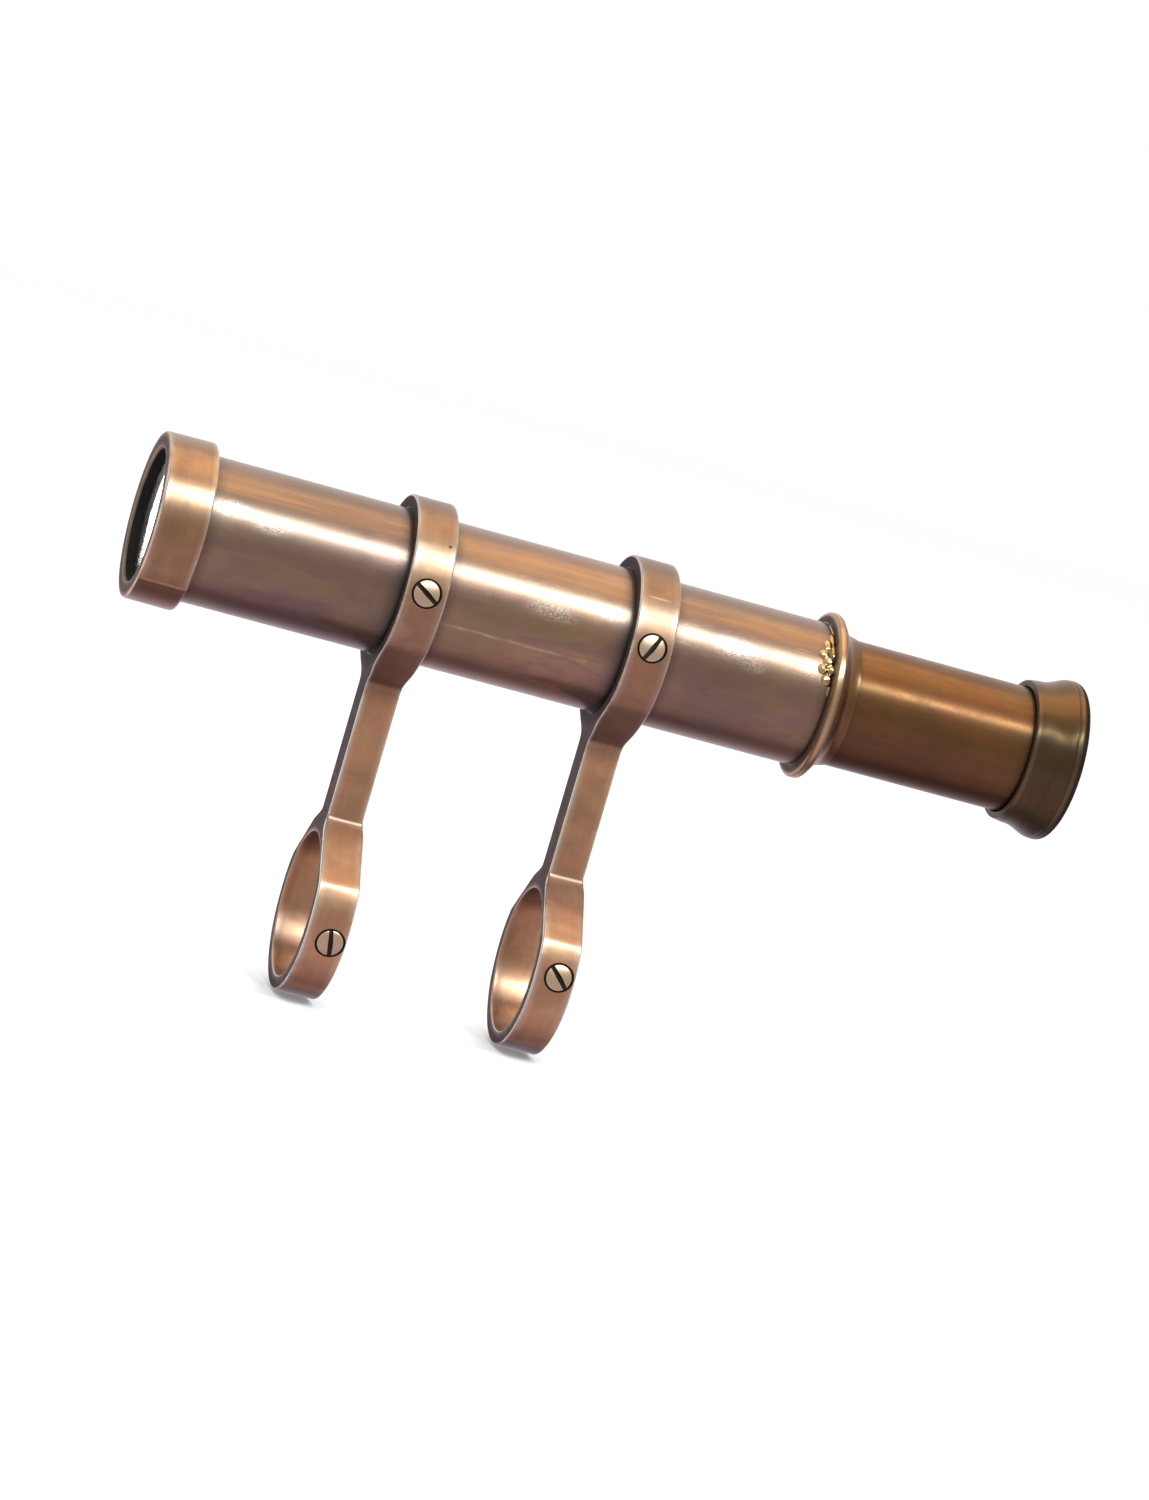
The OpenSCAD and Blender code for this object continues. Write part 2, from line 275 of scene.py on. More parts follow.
def new_material(name):
    material = bpy.data.materials.new(name)
    material.use_nodes = True
    t = Nodes(material.node_tree)
    output = t.add("ShaderNodeOutputMaterial")
    shader = t.add("ShaderNodeBsdfPrincipled")
    t.put(output.inputs[0], shader.outputs[0])
    return material, t, shader


# ---------------------------------------------------------------- aged brass
# Noise scales along x, y and z: streaks run along a drawn piece and round a turned one
DRAWN = dict(streak=(0.020, 1.5, 1.5), fine=(0.10, 9.0, 9.0),
             wash=(0.022, 0.55, 0.55), hairline=(0.045, 0.9, 0.9))
TURNED = dict(streak=(2.2, 0.05, 0.05), fine=(11.0, 0.30, 0.30),
              wash=(0.5, 0.06, 0.06), hairline=(0.9, 0.09, 0.09))

# What every brass starts from; each also gives base, dark, warm, bright and seed
BRASS = dict(
    grain=DRAWN,
    rough=0.3,
    patina=0.5,                     # strength of the large dark and warm patches
    mids=0.35,                      # share of the patina in the middle-sized patches
    streak=0.25,                    # strength of the dark streaks
    mottle=0.25,                    # strength of the dark specks
    wear=0.8,                       # strength of the bright edges
    scratch=0.5,                    # depth of the hairlines
    bump=0.25,
    grime=0.85,                     # strength and reach (mm) of the painted shade where surfaces meet
    grime_reach=3.6,
    coat=0.9,
    face=(0.070, 0.052, 0.055),     # colour of the dull faces, dark as cast and darkened further as painted shade
    hue=0.0,                        # strength of the olive and purple patches
    olive=(0.40, 0.30, 0.13),
    purple=(0.36, 0.19, 0.18),
    tone=None,                      # (x, colour) stops that multiply the colour
    marks=None)                     # function that paints a piece's own marks


def brass_masks(t, look):
    """The noises and masks that colour, roughness and bump share."""
    seed = look.seed
    offset = (seed, seed * 1.7, seed * 0.6)
    m = SimpleNamespace(offset=offset)
    m.big = t.noise((0.030, 0.05, 0.05), offset, detail=4, rough=0.6, distortion=0.6)
    m.mid = t.noise((0.12, 0.16, 0.16), offset, detail=4, rough=0.62, distortion=0.8)
    m.streak = t.noise(look.grain["streak"], offset, detail=5, rough=0.65, distortion=0.05)
    m.fine = t.noise(look.grain["fine"], offset, detail=3, rough=0.6)
    m.speck = t.noise((1.6, 1.6, 1.6), offset, detail=4, rough=0.7)
    m.pit = t.rise(t.noise((3.4, 3.4, 3.4), offset, detail=2, rough=0.5),
                   between=(0.755, 0.80))
    m.face = t.attr("face")
    m.braze = t.attr("braze")
    worn = t.times(t.attr("wear"), t.rise(m.mid, between=(0.30, 0.60), floor=0.45))
    m.worn = t.times(worn, look.wear, clamp=True)
    return m


def hue_patches(t, look, colour):
    """Dark washes along the grain, with olive and purple patches."""
    seed = look.seed
    patch = t.noise((0.045, 0.13, 0.13), (seed + 11, 3, 5), detail=3, rough=0.55,
                    distortion=0.7)
    wash = t.noise(look.grain["wash"], (seed + 2, 6, 1), detail=4, rough=0.6, distortion=0.25)
    colour = t.tint(colour, t.rise(wash, between=(0.44, 0.60)), look.hue * 0.8, look.dark)
    colour = t.tint(colour, t.fall(patch, between=(0.36, 0.50)), look.hue, look.olive)
    return t.tint(colour, t.rise(patch, between=(0.52, 0.66)), look.hue, look.purple)


def face_colour(t, look, m):
    """Faces left as cast, darkened further as painted shade: lighter clouds and darker specks.
    """
    lighter = tuple(v * gain for v, gain in zip(look.face, (2.1, 1.75, 1.45)))
    darker = tuple(v * 0.45 for v in look.face)
    colour = t.tint(look.face, t.rise(m.mid, between=(0.34, 0.66)), amount=0.9,
                    towards=lighter)
    return t.tint(colour, t.rise(m.speck, between=(0.50, 0.72)), amount=0.6, towards=darker)


# Painted shade in corners and where surfaces meet, from ambient occlusion
def corner_shade_mask(t, look, m):
    occlusion = t.add("ShaderNodeAmbientOcclusion", samples=6)
    t.put(occlusion.inputs["Distance"], look.grime_reach * MM)
    corner = t.ramp(occlusion.outputs["AO"], [(0.40, 1.0), (0.72, 0.62), (0.97, 0.0)])
    broken = t.times(corner, t.rise(m.speck, between=(0.30, 0.65), floor=0.75))
    return t.times(broken, look.grime, clamp=True)


def brass_colour(t, look, m):
    soft = t.noise((0.07, 0.11, 0.11), (look.seed + 5, 2, 8), detail=2, rough=0.5,
                   distortion=0.5)
    colour = look.base
    for grain, between, amount, towards in (
            (m.big, (0.36, 0.66), look.patina, look.dark),
            (soft, (0.42, 0.68), look.patina * 0.6, look.warm),
            (m.mid, (0.40, 0.62), look.patina * look.mids, look.dark),
            (m.streak, (0.40, 0.62), look.streak, look.dark),
            (m.speck, (0.52, 0.74), look.mottle, look.dark)):
        colour = t.tint(colour, t.rise(grain, between), amount, towards)
    if look.tone:
        along = t.times(t.mm(t.position()[0]), 1.0)
        colour = t.mix(1.0, colour, t.ramp_over(along, look.tone, low=-100.0, high=200.0),
                       "MULTIPLY")
    if look.hue:
        colour = hue_patches(t, look, colour)
    colour = t.tint(colour, m.pit, amount=0.55, towards=(0.05, 0.03, 0.02))
    # dull faces, partly painted shade
    colour = t.mix(m.face, colour, face_colour(t, look, m))
    colour = t.mix(m.worn, colour, look.bright)
    colour = t.mix(m.braze, colour, (0.92, 0.66, 0.30))
    if look.marks:
        colour = t.mix(m.face, look.marks(t, colour), colour)
    # painted shade where surfaces meet
    colour = t.mix(corner_shade_mask(t, look, m), colour, (0.018, 0.012, 0.010))
    # stains, and painted shade on faces and in grooves
    return t.mix(t.attr("stain"), colour, (0.085, 0.042, 0.024))


def brass_roughness(t, look, m):
    value = look.rough
    for grain, amount in ((m.speck, 0.07), (m.mid, 0.22), (m.fine, 0.05)):
        value = t.plus(value, t.times(t.minus(grain, 0.5), amount))
    # smoother where worn and brazed, rougher on the faces
    value = t.minus(value, t.times(m.worn, 0.06))
    value = t.plus(value, t.times(m.face, 0.30))
    value = t.minus(value, t.times(m.braze, 0.12), clamp=True)
    return t.math("MAXIMUM", value, 0.10)


def brass_height(t, look, m):
    """Grain and dents, less the hairlines and pits."""
    seed = look.seed
    line = t.noise(look.grain["hairline"], (seed + 3, 1, 2), detail=2, rough=0.5,
                   distortion=0.3)
    hair = t.ramp(line, [(0.490, 0.0), (0.497, 1.0), (0.504, 0.0)])
    gate = t.rise(t.noise((0.06, 0.10, 0.10), (seed, 9, 4), detail=2), between=(0.50, 0.62))
    hair = t.times(hair, gate)
    dent = t.noise((0.11, 0.20, 0.20), m.offset, detail=1, rough=0.5, distortion=0.4)
    height = t.times(m.fine, 0.03)
    for grain, depth in ((m.streak, 0.03), (m.speck, 0.05), (m.mid, 0.45), (dent, 2.6)):
        height = t.plus(height, t.times(grain, depth))
    for cut, depth in ((hair, 0.9 * look.scratch), (m.pit, 1.0)):
        height = t.minus(height, t.times(cut, depth))
    return height


def brass(name, **changes):
    """Aged brass: patina, streaks, worn edges, painted shade where surfaces meet, and dull
    faces without metal or coat.
    """
    look = SimpleNamespace(**(BRASS | changes))
    material, t, shader = new_material(name)
    m = brass_masks(t, look)
    t.put_all(shader, {
        "Base Color": brass_colour(t, look, m),
        "Metallic": t.minus(1.0, t.attr("face")),
        "Roughness": brass_roughness(t, look, m),
        "Coat Weight": t.minus(look.coat, t.times(t.attr("face"), look.coat)),
        "Coat Roughness": 0.36,
        "Coat IOR": 1.8,
        "Specular IOR Level": t.minus(0.5, t.times(t.attr("face"), 0.42))})
    t.bump(shader, brass_height(t, look, m), look.bump, distance_mm=0.05)
    return material


# ---------------------------------------------------------------- marks of single pieces
# Patches on the main tube: centre and half axes (x, round) in mm, noise floor, noise start,
# amount, colour
TUBE_PATCHES = [
    ((26, -1.0), (30, 6.0), 0.2, 0.35, 0.60, (0.33, 0.255, 0.125)),
    ((-30, -14), (34, 13), 0.3, 0.40, 0.65, (0.22, 0.135, 0.150)),
    ((84, -10), (24, 14), 0.3, 0.40, 0.65, (0.27, 0.155, 0.150))]
# Rubbed spots, lightened as painted highlight in the streak: x, angle above the camera side,
# half axes along and round, strength
TUBE_RUB_HIGHLIGHTS = [
    (32, 14, 8.0, 2.6, 1.4), (79, 24, 6.5, 3.6, 1.0), (84, 15, 4.4, 2.6, 0.9),
    (98, 25, 3.4, 2.6, 1.0), (-50, 27, 6.0, 2.8, 1.1), (-40, 20, 6, 2.2, 0.8),
    (46, 24, 5, 2.4, 0.9)]
RING_SHADE = 9.0      # length of the painted shadow ahead of each ring


def tube_bands(t, colour, around):
    """Two colours of patch low on the camera side, and two above."""
    low = t.ramp_over(around, [(-30, 0.0), (-24, 1.0), (1.2, 1.0), (6, 0.0)],
                      low=-30.0, high=30.0)
    high = t.ramp_over(around, [(9.6, 0.0), (14.4, 1.0), (24, 1.0), (30, 0.0)],
                       low=-30.0, high=30.0)
    patch = t.noise((0.050, 0.14, 0.14), (3, 1, 9), detail=3, rough=0.55, distortion=0.8)
    colour = t.tint(colour, t.times(t.fall(patch, between=(0.38, 0.50)), low),
                    amount=0.50, towards=(0.40, 0.285, 0.12))
    colour = t.tint(colour, t.times(t.rise(patch, between=(0.50, 0.62)), low),
                    amount=0.62, towards=(0.33, 0.175, 0.165))
    band = t.noise((0.030, 0.50, 0.50), (8, 2, 3), detail=4, rough=0.6, distortion=0.35)
    colour = t.tint(colour, t.times(t.fall(band, between=(0.34, 0.48)), high),
                    amount=0.65, towards=(0.36, 0.185, 0.095))
    return t.tint(colour, t.times(t.rise(band, between=(0.52, 0.64)), high),
                  amount=0.36, towards=(0.68, 0.34, 0.17))


def tube_marks(t, colour):
    """Coloured patches, painted shadow ahead of the rings, an axial line and rubbed spots
    lightened as painted highlight.
    """
    place = along, around = t.unroll(TUBE_R)
    rub = t.noise((0.9, 1.6, 1.6), (4, 4, 4), detail=4, rough=0.7, distortion=1.5)
    cloud = t.noise((0.10, 0.35, 0.35), (1, 7, 4), detail=3, rough=0.6)
    colour = tube_bands(t, colour, around)
    for centre, size, floor, start, amount, towards in TUBE_PATCHES:
        mask = t.times(t.blot(place, centre, size, soft=0.8),
                       t.rise(cloud, between=(start, 0.6), floor=floor))
        colour = t.tint(colour, mask, amount, towards)
    # painted shadow of each ring on the tube, stronger low down
    for ring_x in (FRONT_LO.x, REAR_LO.x):
        shade = t.ramp_past(
            along, [(0.0, 0.0), (4.05, 0.22), (7.65, 0.70), (8.991, 0.85), (9.0, 0.0)],
            start=ring_x - RING_SHADE, length=RING_SHADE)
        lower = t.ramp(t.height_share(around, TUBE_R),
                       [(0.0, 1.0), (0.5, 0.85), (0.70, 0.35), (1.0, 0.25)])
        colour = t.tint(colour, shade, lower, towards=(0.085, 0.050, 0.062))
    # thin light line between the rings
    off_line = t.math("ABSOLUTE", t.minus(around, math.radians(-16.6) * TUBE_R))
    line = t.ramp(t.minus(off_line, 0.0), [(0.0, 1.0), (0.28, 0.8), (0.55, 0.0)])
    line = t.times(line, t.blot(place, centre=(27, -5.3), size=(22, 6), soft=0.25))
    colour = t.tint(colour, line, t.rise(cloud, between=(0.42, 0.62), top=0.75),
                    towards=(0.90, 0.68, 0.50))
    # rubbed spots, lightened as painted highlight
    for x, angle, half_x, half_around, strength in TUBE_RUB_HIGHLIGHTS:
        spot = t.blot(place, centre=(x, math.radians(angle) * TUBE_R),
                      size=(half_x, half_around), soft=0.6)
        mask = t.times(spot, t.ramp(rub, [(0.49, 0.0), (0.535, 1.0), (0.58, 0.0)]))
        colour = t.mix(t.times(mask, strength, clamp=True), colour, (1.0, 0.90, 0.80))
    return colour


# Painted light and shade on the castings: colour factors by height z, before RING_GAIN
RING_PAINTED_LIGHT = [
    (15, 0.92), (26, 0.86), (52, (0.90, 0.89, 0.88)), (AXIS_Z - 24, (0.42, 0.40, 0.38)),
    (AXIS_Z - 17, 0.54), (AXIS_Z + 2, (0.64, 0.635, 0.62)), (AXIS_Z + 10, (0.58, 0.59, 0.60)),
    (AXIS_Z + 20, (0.44, 0.45, 0.45))]
RING_GAIN = (1.6, 1.6, 1.6)


def ring_marks(t, colour):
    """Pit on the front ring, rubbed line on the rear one, painted light and shade by height,
    painted shade along the creases.
    """
    place = t.unroll(RING_R)
    pit = t.blot(place, centre=(3.3, math.radians(37) * RING_R), size=(0.62, 0.50))
    colour = t.mix(pit, colour, (0.006, 0.004, 0.003))
    line = t.blot(place, centre=(57.2, math.radians(41) * RING_R), size=(3.6, 0.35))
    colour = t.tint(colour, line, amount=0.8, towards=(0.95, 0.62, 0.30))
    x, y, z = t.position()
    # painted light and shade by height
    painted_light = t.ramp_over(t.mm(z), RING_PAINTED_LIGHT, low=-30.0, high=120.0)
    colour = t.mix(1.0, colour, t.mix(1.0, painted_light, RING_GAIN, "MULTIPLY"), "MULTIPLY")
    # painted shade along the creases where the lower flats meet the stalk
    off_crease = t.math("ABSOLUTE", t.minus(t.mm(z), CREASE_Z))
    crease = t.ramp(off_crease, [(0.0, 0.80), (0.5, 0.70), (0.95, 0.0)])
    colour = t.mix(crease, colour, (0.20, 0.105, 0.06))
    # duller patch on the rear bracket's lower ring
    rear = t.ramp_past(t.mm(x), [(9, 0.0), (18, 1.0)], start=20.0, length=30.0, clamp=True)
    patch = t.blot((t.mm(z), t.mm(y)), centre=(19.5, -9.0), size=(5.5, 7.0), soft=0.6)
    colour = t.tint(colour, t.times(rear, patch), amount=0.55, towards=(0.34, 0.17, 0.10))
    # darker where other pieces reflect it
    reflected = t.add("ShaderNodeLightPath").outputs["Is Glossy Ray"]
    return t.tint(colour, reflected, amount=0.78, towards=(0.05, 0.03, 0.025))


def cell_marks(t, colour):
    """Painted highlight along the seam and a darker strip below it as painted reflection, over
    the seam's real step.
    """
    around = t.around(t.position(), CELL_R)
    past_seam = t.minus(around, math.radians(SEAM_DEG) * CELL_R)
    cloud = t.noise((0.25, 0.5, 0.5), (2, 5, 1), detail=3, rough=0.6)
    # painted reflection: darker strip below the seam
    strip = t.ramp_over(
        past_seam, [(-12, 0.0), (-4.8, 0.55), (-0.72, 0.72), (-0.12, 0.72), (0.12, 0.0)],
        low=-12.0, high=12.0)
    colour = t.tint(colour, strip, t.rise(cloud, between=(0.30, 0.60), floor=0.65),
                    towards=(0.235, 0.105, 0.045))
    # painted highlight along the seam
    line = t.ramp(t.math("ABSOLUTE", t.minus(past_seam, 0.12)),
                  [(0.0, 1.0), (0.32, 0.85), (0.6, 0.0)])
    return t.tint(colour, line, t.rise(cloud, between=(0.30, 0.55), floor=0.5),
                  towards=(1.0, 0.62, 0.34))


def cup_marks(t, colour):
    """Painted light: browner towards the top; dull black round the rear lip."""
    along, around = t.unroll(CUP_R)
    # painted light from above
    upper = t.ramp(t.height(around, CUP_R), [(0.50, 0.0), (0.80, 0.8), (1.0, 0.9)])
    colour = t.mix(upper, colour, (0.24, 0.120, 0.038))
    lip = t.ramp_past(along, [(11.7, 0.0), (12.3, 0.92), (20.0, 0.92)],
                      start=CUP_LO.x, length=20.0)
    return t.mix(lip, colour, (0.012, 0.008, 0.006))


def collar_shoulder_shade(t, colour):
    """Painted shade, brown, on the shoulder behind the bead."""
    shoulder = t.ramp_past(t.mm(t.position()[0]), [(1.3, 0.0), (2.4, 0.85), (10.0, 0.95)],
                           start=TUBE_HI.x, length=10.0)
    return t.mix(shoulder, colour, (0.23, 0.115, 0.045))


def draw_painted_shading(t, colour):
    """Painted light and shade by height: orange brown above, darker and more purple low down.
    """
    share = t.height_share(t.around(t.position(), DRAW_R), DRAW_R)
    shade = t.ramp(share, [
        (0.0, (0.50, 0.44, 0.52)), (0.30, (0.62, 0.58, 0.60)), (0.50, (0.76, 0.76, 0.70)),
        (0.72, (0.98, 0.97, 0.92)), (1.0, (0.86, 0.80, 0.72))])
    return t.mix(1.0, colour, shade, "MULTIPLY")


# ---------------------------------------------------------------- other surfaces
def black_paint(name, tone=(0.012, 0.011, 0.010), rough=0.55, seed=0.0):
    material, t, shader = new_material(name)
    speck = t.noise((0.9, 0.9, 0.9), (seed, 0, 0), detail=4, rough=0.7)
    t.put_all(shader, {
        "Base Color": t.mix(t.rise(speck, between=(0.55, 0.85)), tone, (0.05, 0.038, 0.028)),
        "Roughness": t.plus(rough, t.times(t.minus(speck, 0.5), 0.3)),
        "Specular IOR Level": 0.25})
    t.bump(shader, t.noise((4, 4, 4), detail=3), strength=0.3, distance_mm=0.04)
    return material


def dusty_glass(name):
    material, t, shader = new_material(name)
    dust = t.noise((0.6, 0.6, 0.6), detail=5, rough=0.7)
    t.put_all(shader, {
        "Base Color": t.mix(t.rise(dust, between=(0.5, 0.9)), (0.96, 0.95, 0.96),
                            (0.84, 0.84, 0.84)),
        "Roughness": t.times(t.rise(dust, between=(0.45, 0.8)), 0.03),
        "Transmission Weight": 1.0,
        "IOR": 1.53,
        "Coat Weight": 0.35,
        "Coat Roughness": 0.02})
    return material


def red_cloth(name):
    material, t, shader = new_material(name)
    fibre = t.noise((3.0, 3.0, 3.0), detail=5, rough=0.75)
    t.put_all(shader, {
        "Base Color": t.mix(fibre, (0.10, 0.03, 0.022), (0.30, 0.11, 0.08)),
        "Roughness": 0.95,
        "Sheen Weight": 0.6})
    t.bump(shader, fibre, strength=0.8, distance_mm=0.12)
    return material


# ---------------------------------------------------------------- materials
TUBE_BRASS = brass(
    "tube_brass", base=(0.62, 0.352, 0.205), dark=(0.33, 0.195, 0.125),
    warm=(0.64, 0.315, 0.165), bright=(0.90, 0.62, 0.44), seed=2.0,
    rough=0.24, streak=0.16, patina=0.75, mottle=0.20, bump=0.16, scratch=1.6,
    hue=0.25, olive=(0.44, 0.31, 0.145), purple=(0.42, 0.225, 0.19),
    tone=[(-64, (0.76, 0.78, 0.82)), (-30, (0.62, 0.64, 0.70)), (-6, (0.67, 0.67, 0.71)),
          (8, (0.96, 0.93, 0.89)), (50, (0.96, 0.91, 0.86)), (64, (0.70, 0.69, 0.71)),
          (84, (0.68, 0.65, 0.64)), (104, (0.78, 0.72, 0.66))],
    marks=tube_marks)
CELL_BRASS = brass(
    "cell_brass", base=(0.66, 0.353, 0.163), dark=(0.34, 0.168, 0.073),
    warm=(0.64, 0.305, 0.137), bright=(0.95, 0.72, 0.56), seed=5.0, grain=TURNED,
    rough=0.26, streak=0.20, patina=0.7, mottle=0.48, bump=0.24, wear=1.0, mids=0.65,
    hue=0.62, olive=(0.48, 0.31, 0.15), purple=(0.52, 0.235, 0.11), marks=cell_marks)
CASTING_BRASS = brass(
    "casting_brass", base=(0.66, 0.348, 0.188), dark=(0.35, 0.180, 0.095),
    warm=(0.68, 0.325, 0.150), bright=(1.0, 0.84, 0.70), seed=8.0, grain=TURNED,
    rough=0.33, streak=0.10, patina=0.85, mottle=0.42, bump=0.44, wear=1.0, mids=0.55,
    hue=0.35, olive=(0.52, 0.33, 0.165), purple=(0.56, 0.25, 0.13),
    grime=1.0, grime_reach=5.0, face=(0.060, 0.044, 0.050), marks=ring_marks)
COLLAR_BRASS = brass(
    "collar_brass", base=(0.58, 0.340, 0.170), dark=(0.36, 0.20, 0.105),
    warm=(0.60, 0.32, 0.15), bright=(0.94, 0.70, 0.48), seed=11.0, grain=TURNED,
    rough=0.25, streak=0.15, patina=0.4, coat=0.25, marks=collar_shoulder_shade)
DRAW_BRASS = brass(
    "draw_tube_brass", base=(0.42, 0.210, 0.082), dark=(0.24, 0.120, 0.056),
    warm=(0.46, 0.19, 0.050), bright=(0.74, 0.46, 0.26), seed=14.0,
    rough=0.26, streak=0.12, patina=0.7, mottle=0.14, bump=0.14, scratch=1.0, mids=0.5,
    hue=0.4, olive=(0.30, 0.19, 0.065), purple=(0.40, 0.155, 0.07), coat=0.20,
    marks=draw_painted_shading)
CUP_BRASS = brass(
    "eyecup_brass", base=(0.150, 0.088, 0.030), dark=(0.062, 0.036, 0.015),
    warm=(0.19, 0.090, 0.026), bright=(0.62, 0.48, 0.28), seed=17.0, grain=TURNED,
    rough=0.24, streak=0.20, patina=0.6, bump=0.22, wear=0.22, mids=0.5, coat=0.34,
    hue=0.4, olive=(0.13, 0.10, 0.035), purple=(0.17, 0.075, 0.03),
    face=(0.014, 0.010, 0.008), marks=cup_marks)
SCREW_BRASS = brass(
    "screw_brass", base=(0.88, 0.64, 0.42), dark=(0.66, 0.42, 0.24),
    warm=(0.92, 0.60, 0.34), bright=(1.0, 0.90, 0.70), seed=21.0, grain=TURNED,
    rough=0.40, streak=0.2, mottle=0.45, bump=0.45, coat=1.0, grime=0.95, grime_reach=0.9)
INNER_BRASS = brass(
    "inner_brass", base=(0.36, 0.225, 0.105), dark=(0.20, 0.125, 0.060),
    warm=(0.38, 0.20, 0.09), bright=(0.8, 0.6, 0.36), seed=24.0, grain=TURNED,
    rough=0.30, streak=0.4, patina=0.6, bump=0.3, hue=0.5)
FOIL = brass(
    "foil_metal", base=(0.30, 0.24, 0.15), dark=(0.2, 0.15, 0.09),
    warm=(0.3, 0.2, 0.12), bright=(0.6, 0.5, 0.35), seed=27.0, rough=0.35)
BLACK = black_paint("blackened_brass")
# Painted shade: near black in the screw seats and the screw slots
SEAT_SHADE = black_paint("seat_shade", tone=(0.020, 0.012, 0.008), rough=0.6, seed=4.0)
GLASS = dusty_glass("lens_glass")
WIRE = black_paint("reticle_wire", tone=(0.03, 0.03, 0.032), rough=0.35, seed=7.0)
CLOTH = red_cloth("lining_cloth")


# ---------------------------------------------------------------- mesh helpers
def smooth(mesh, sharp):
    for polygon in mesh.polygons:
        polygon.use_smooth = True
    mesh.set_sharp_from_angle(angle=math.radians(sharp))


def finish_mesh(name, bm, materials, sharp=32):
    """Turn a bmesh into a smooth object; edges over sharp degrees stay crisp."""
    bmesh.ops.recalc_face_normals(bm, faces=bm.faces)
    mesh = bpy.data.meshes.new(name)
    bm.to_mesh(mesh)
    bm.free()
    for material in materials:
        mesh.materials.append(material)
    smooth(mesh, sharp)
    ob = bpy.data.objects.new(name, mesh)
    bpy.context.scene.collection.objects.link(ob)
    return ob


def mark_layers(bm, names=("wear", "stain", "braze", "face")):
    return {name: bm.verts.layers.float.new(name) for name in names}


def skin(bm, first, second):
    """Faces between two closed rows of vertices."""
    count = len(first)
    return [bm.faces.new((first[i], first[(i + 1) % count],
                          second[(i + 1) % count], second[i])) for i in range(count)]


def fillet(points, steps=6):
    """Round the corners of a closed profile.

    Takes (r, x, fillet radius, wear, material of the edge that follows) and gives
    (r, x, wear, material).
    """
    out = []
    count = len(points)
    for i, (r, x, radius, wear, slot) in enumerate(points):
        if radius <= 0:
            out.append((r, x, wear, slot))
            continue
        corner = Vector((r, x))
        back = Vector(points[i - 1][:2]) - corner
        ahead = Vector(points[(i + 1) % count][:2]) - corner
        back_length, ahead_length = back.length, ahead.length
        back.normalize()
        ahead.normalize()
        angle = back.angle(ahead)
        if angle > math.pi - 0.02:      # nearly straight
            out.append((r, x, wear, slot))
            continue
        trim = min(radius / math.tan(angle / 2), back_length * 0.48, ahead_length * 0.48)
        radius = trim * math.tan(angle / 2)
        centre = corner + (back + ahead).normalized() * (radius / math.sin(angle / 2))
        start, end = corner + back * trim, corner + ahead * trim
        start_angle = math.atan2(start.y - centre.y, start.x - centre.x)
        end_angle = math.atan2(end.y - centre.y, end.x - centre.x)
        sweep = (end_angle - start_angle + math.pi) % TAU - math.pi
        for j in range(steps + 1):
            q = start_angle + sweep * j / steps
            crest = math.sin(math.pi * j / steps)
            out.append((centre.x + radius * math.cos(q), centre.y + radius * math.sin(q),
                        wear * (0.35 + 0.65 * crest),
                        points[i - 1][4] if j < steps // 2 else slot))
    return out


def refine(profile, step):
    """Split long edges; the added points carry no wear."""
    out = []
    for i, p in enumerate(profile):
        q = profile[(i + 1) % len(profile)]
        out.append(p)
        added = int(math.hypot(q[0] - p[0], q[1] - p[1]) / step)
        for j in range(1, added + 1):
            s = j / (added + 1)
            out.append((p[0] + (q[0] - p[0]) * s, p[1] + (q[1] - p[1]) * s, 0.0, p[3]))
    return out


def lathe(name, points, materials, segments, step, shape=None, marks=None, sharp=32):
    """Turn a closed profile about the finder's axis; angles run from +y through +z.

    shape(r, x, angle) may move a point; marks(r, x, angle) gives stain and painted shade, braze
    and face.
    """
    profile = refine(fillet(points), step)
    bm = bmesh.new()
    layers = mark_layers(bm)
    rows = []
    for s in range(segments):
        a = TAU * s / segments
        row = []
        for r, x, wear, _ in profile:
            new_r, new_x = shape(r, x, a) if shape else (r, x)
            v = bm.verts.new((new_x * MM, new_r * math.cos(a) * MM,
                              (AXIS_Z + new_r * math.sin(a)) * MM))
            v[layers["wear"]] = wear
            if marks:
                for layer, value in zip(("stain", "braze", "face"), marks(r, x, a)):
                    v[layers[layer]] = value
            row.append(v)
        rows.append(row)
    for s in range(segments):
        for point, face in zip(profile, skin(bm, rows[s], rows[(s + 1) % segments])):
            face.material_index = point[3]
    return finish_mesh(name, bm, materials, sharp)


def place(ob, body, node, slot):
    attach(ob, body)
    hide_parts(node)


def unevenness(x, a, depth, seed):
    """Slow handmade unevenness of a tube's surface, nearly always inwards."""
    slow = noise.noise(Vector((x * 0.045 + seed, math.cos(a) * 1.6, math.sin(a) * 1.6)))
    quick = noise.noise(Vector((x * 0.045 * 4 + seed + 7, math.cos(a) * 1.6 * 3,
                                math.sin(a) * 1.6 * 3)))
    return -depth * (0.5 + 0.5 * slow) - depth * 0.25 * (0.5 + 0.5 * quick)


def uneven_skin(radius, depth, seed):
    """Shape function that roughens only the outer skin."""
    def shape(r, x, a):
        if r > radius - 0.3:
            r += unevenness(x, a, depth, seed)
        return r, x
    return shape


# ---------------------------------------------------------------- main tube and draw tube
TUBE_WALL = 1.0


def build_main_tube():
    front, rear = TUBE_LO.x, TUBE_HI.x
    shell = lathe("tube_shell", [
        (TUBE_R, front, 0.2, 0.6, 0), (TUBE_R, rear, 0.1, 0.2, 0),
        (TUBE_R - TUBE_WALL, rear, 0.1, 0, 1), (TUBE_R - TUBE_WALL, front, 0.1, 0, 1)],
        [TUBE_BRASS, BLACK], segments=176, step=1.6,
        shape=uneven_skin(TUBE_R, depth=0.035, seed=3.0))
    place(shell, "finder_tube", "main_tube", "tube_brass")


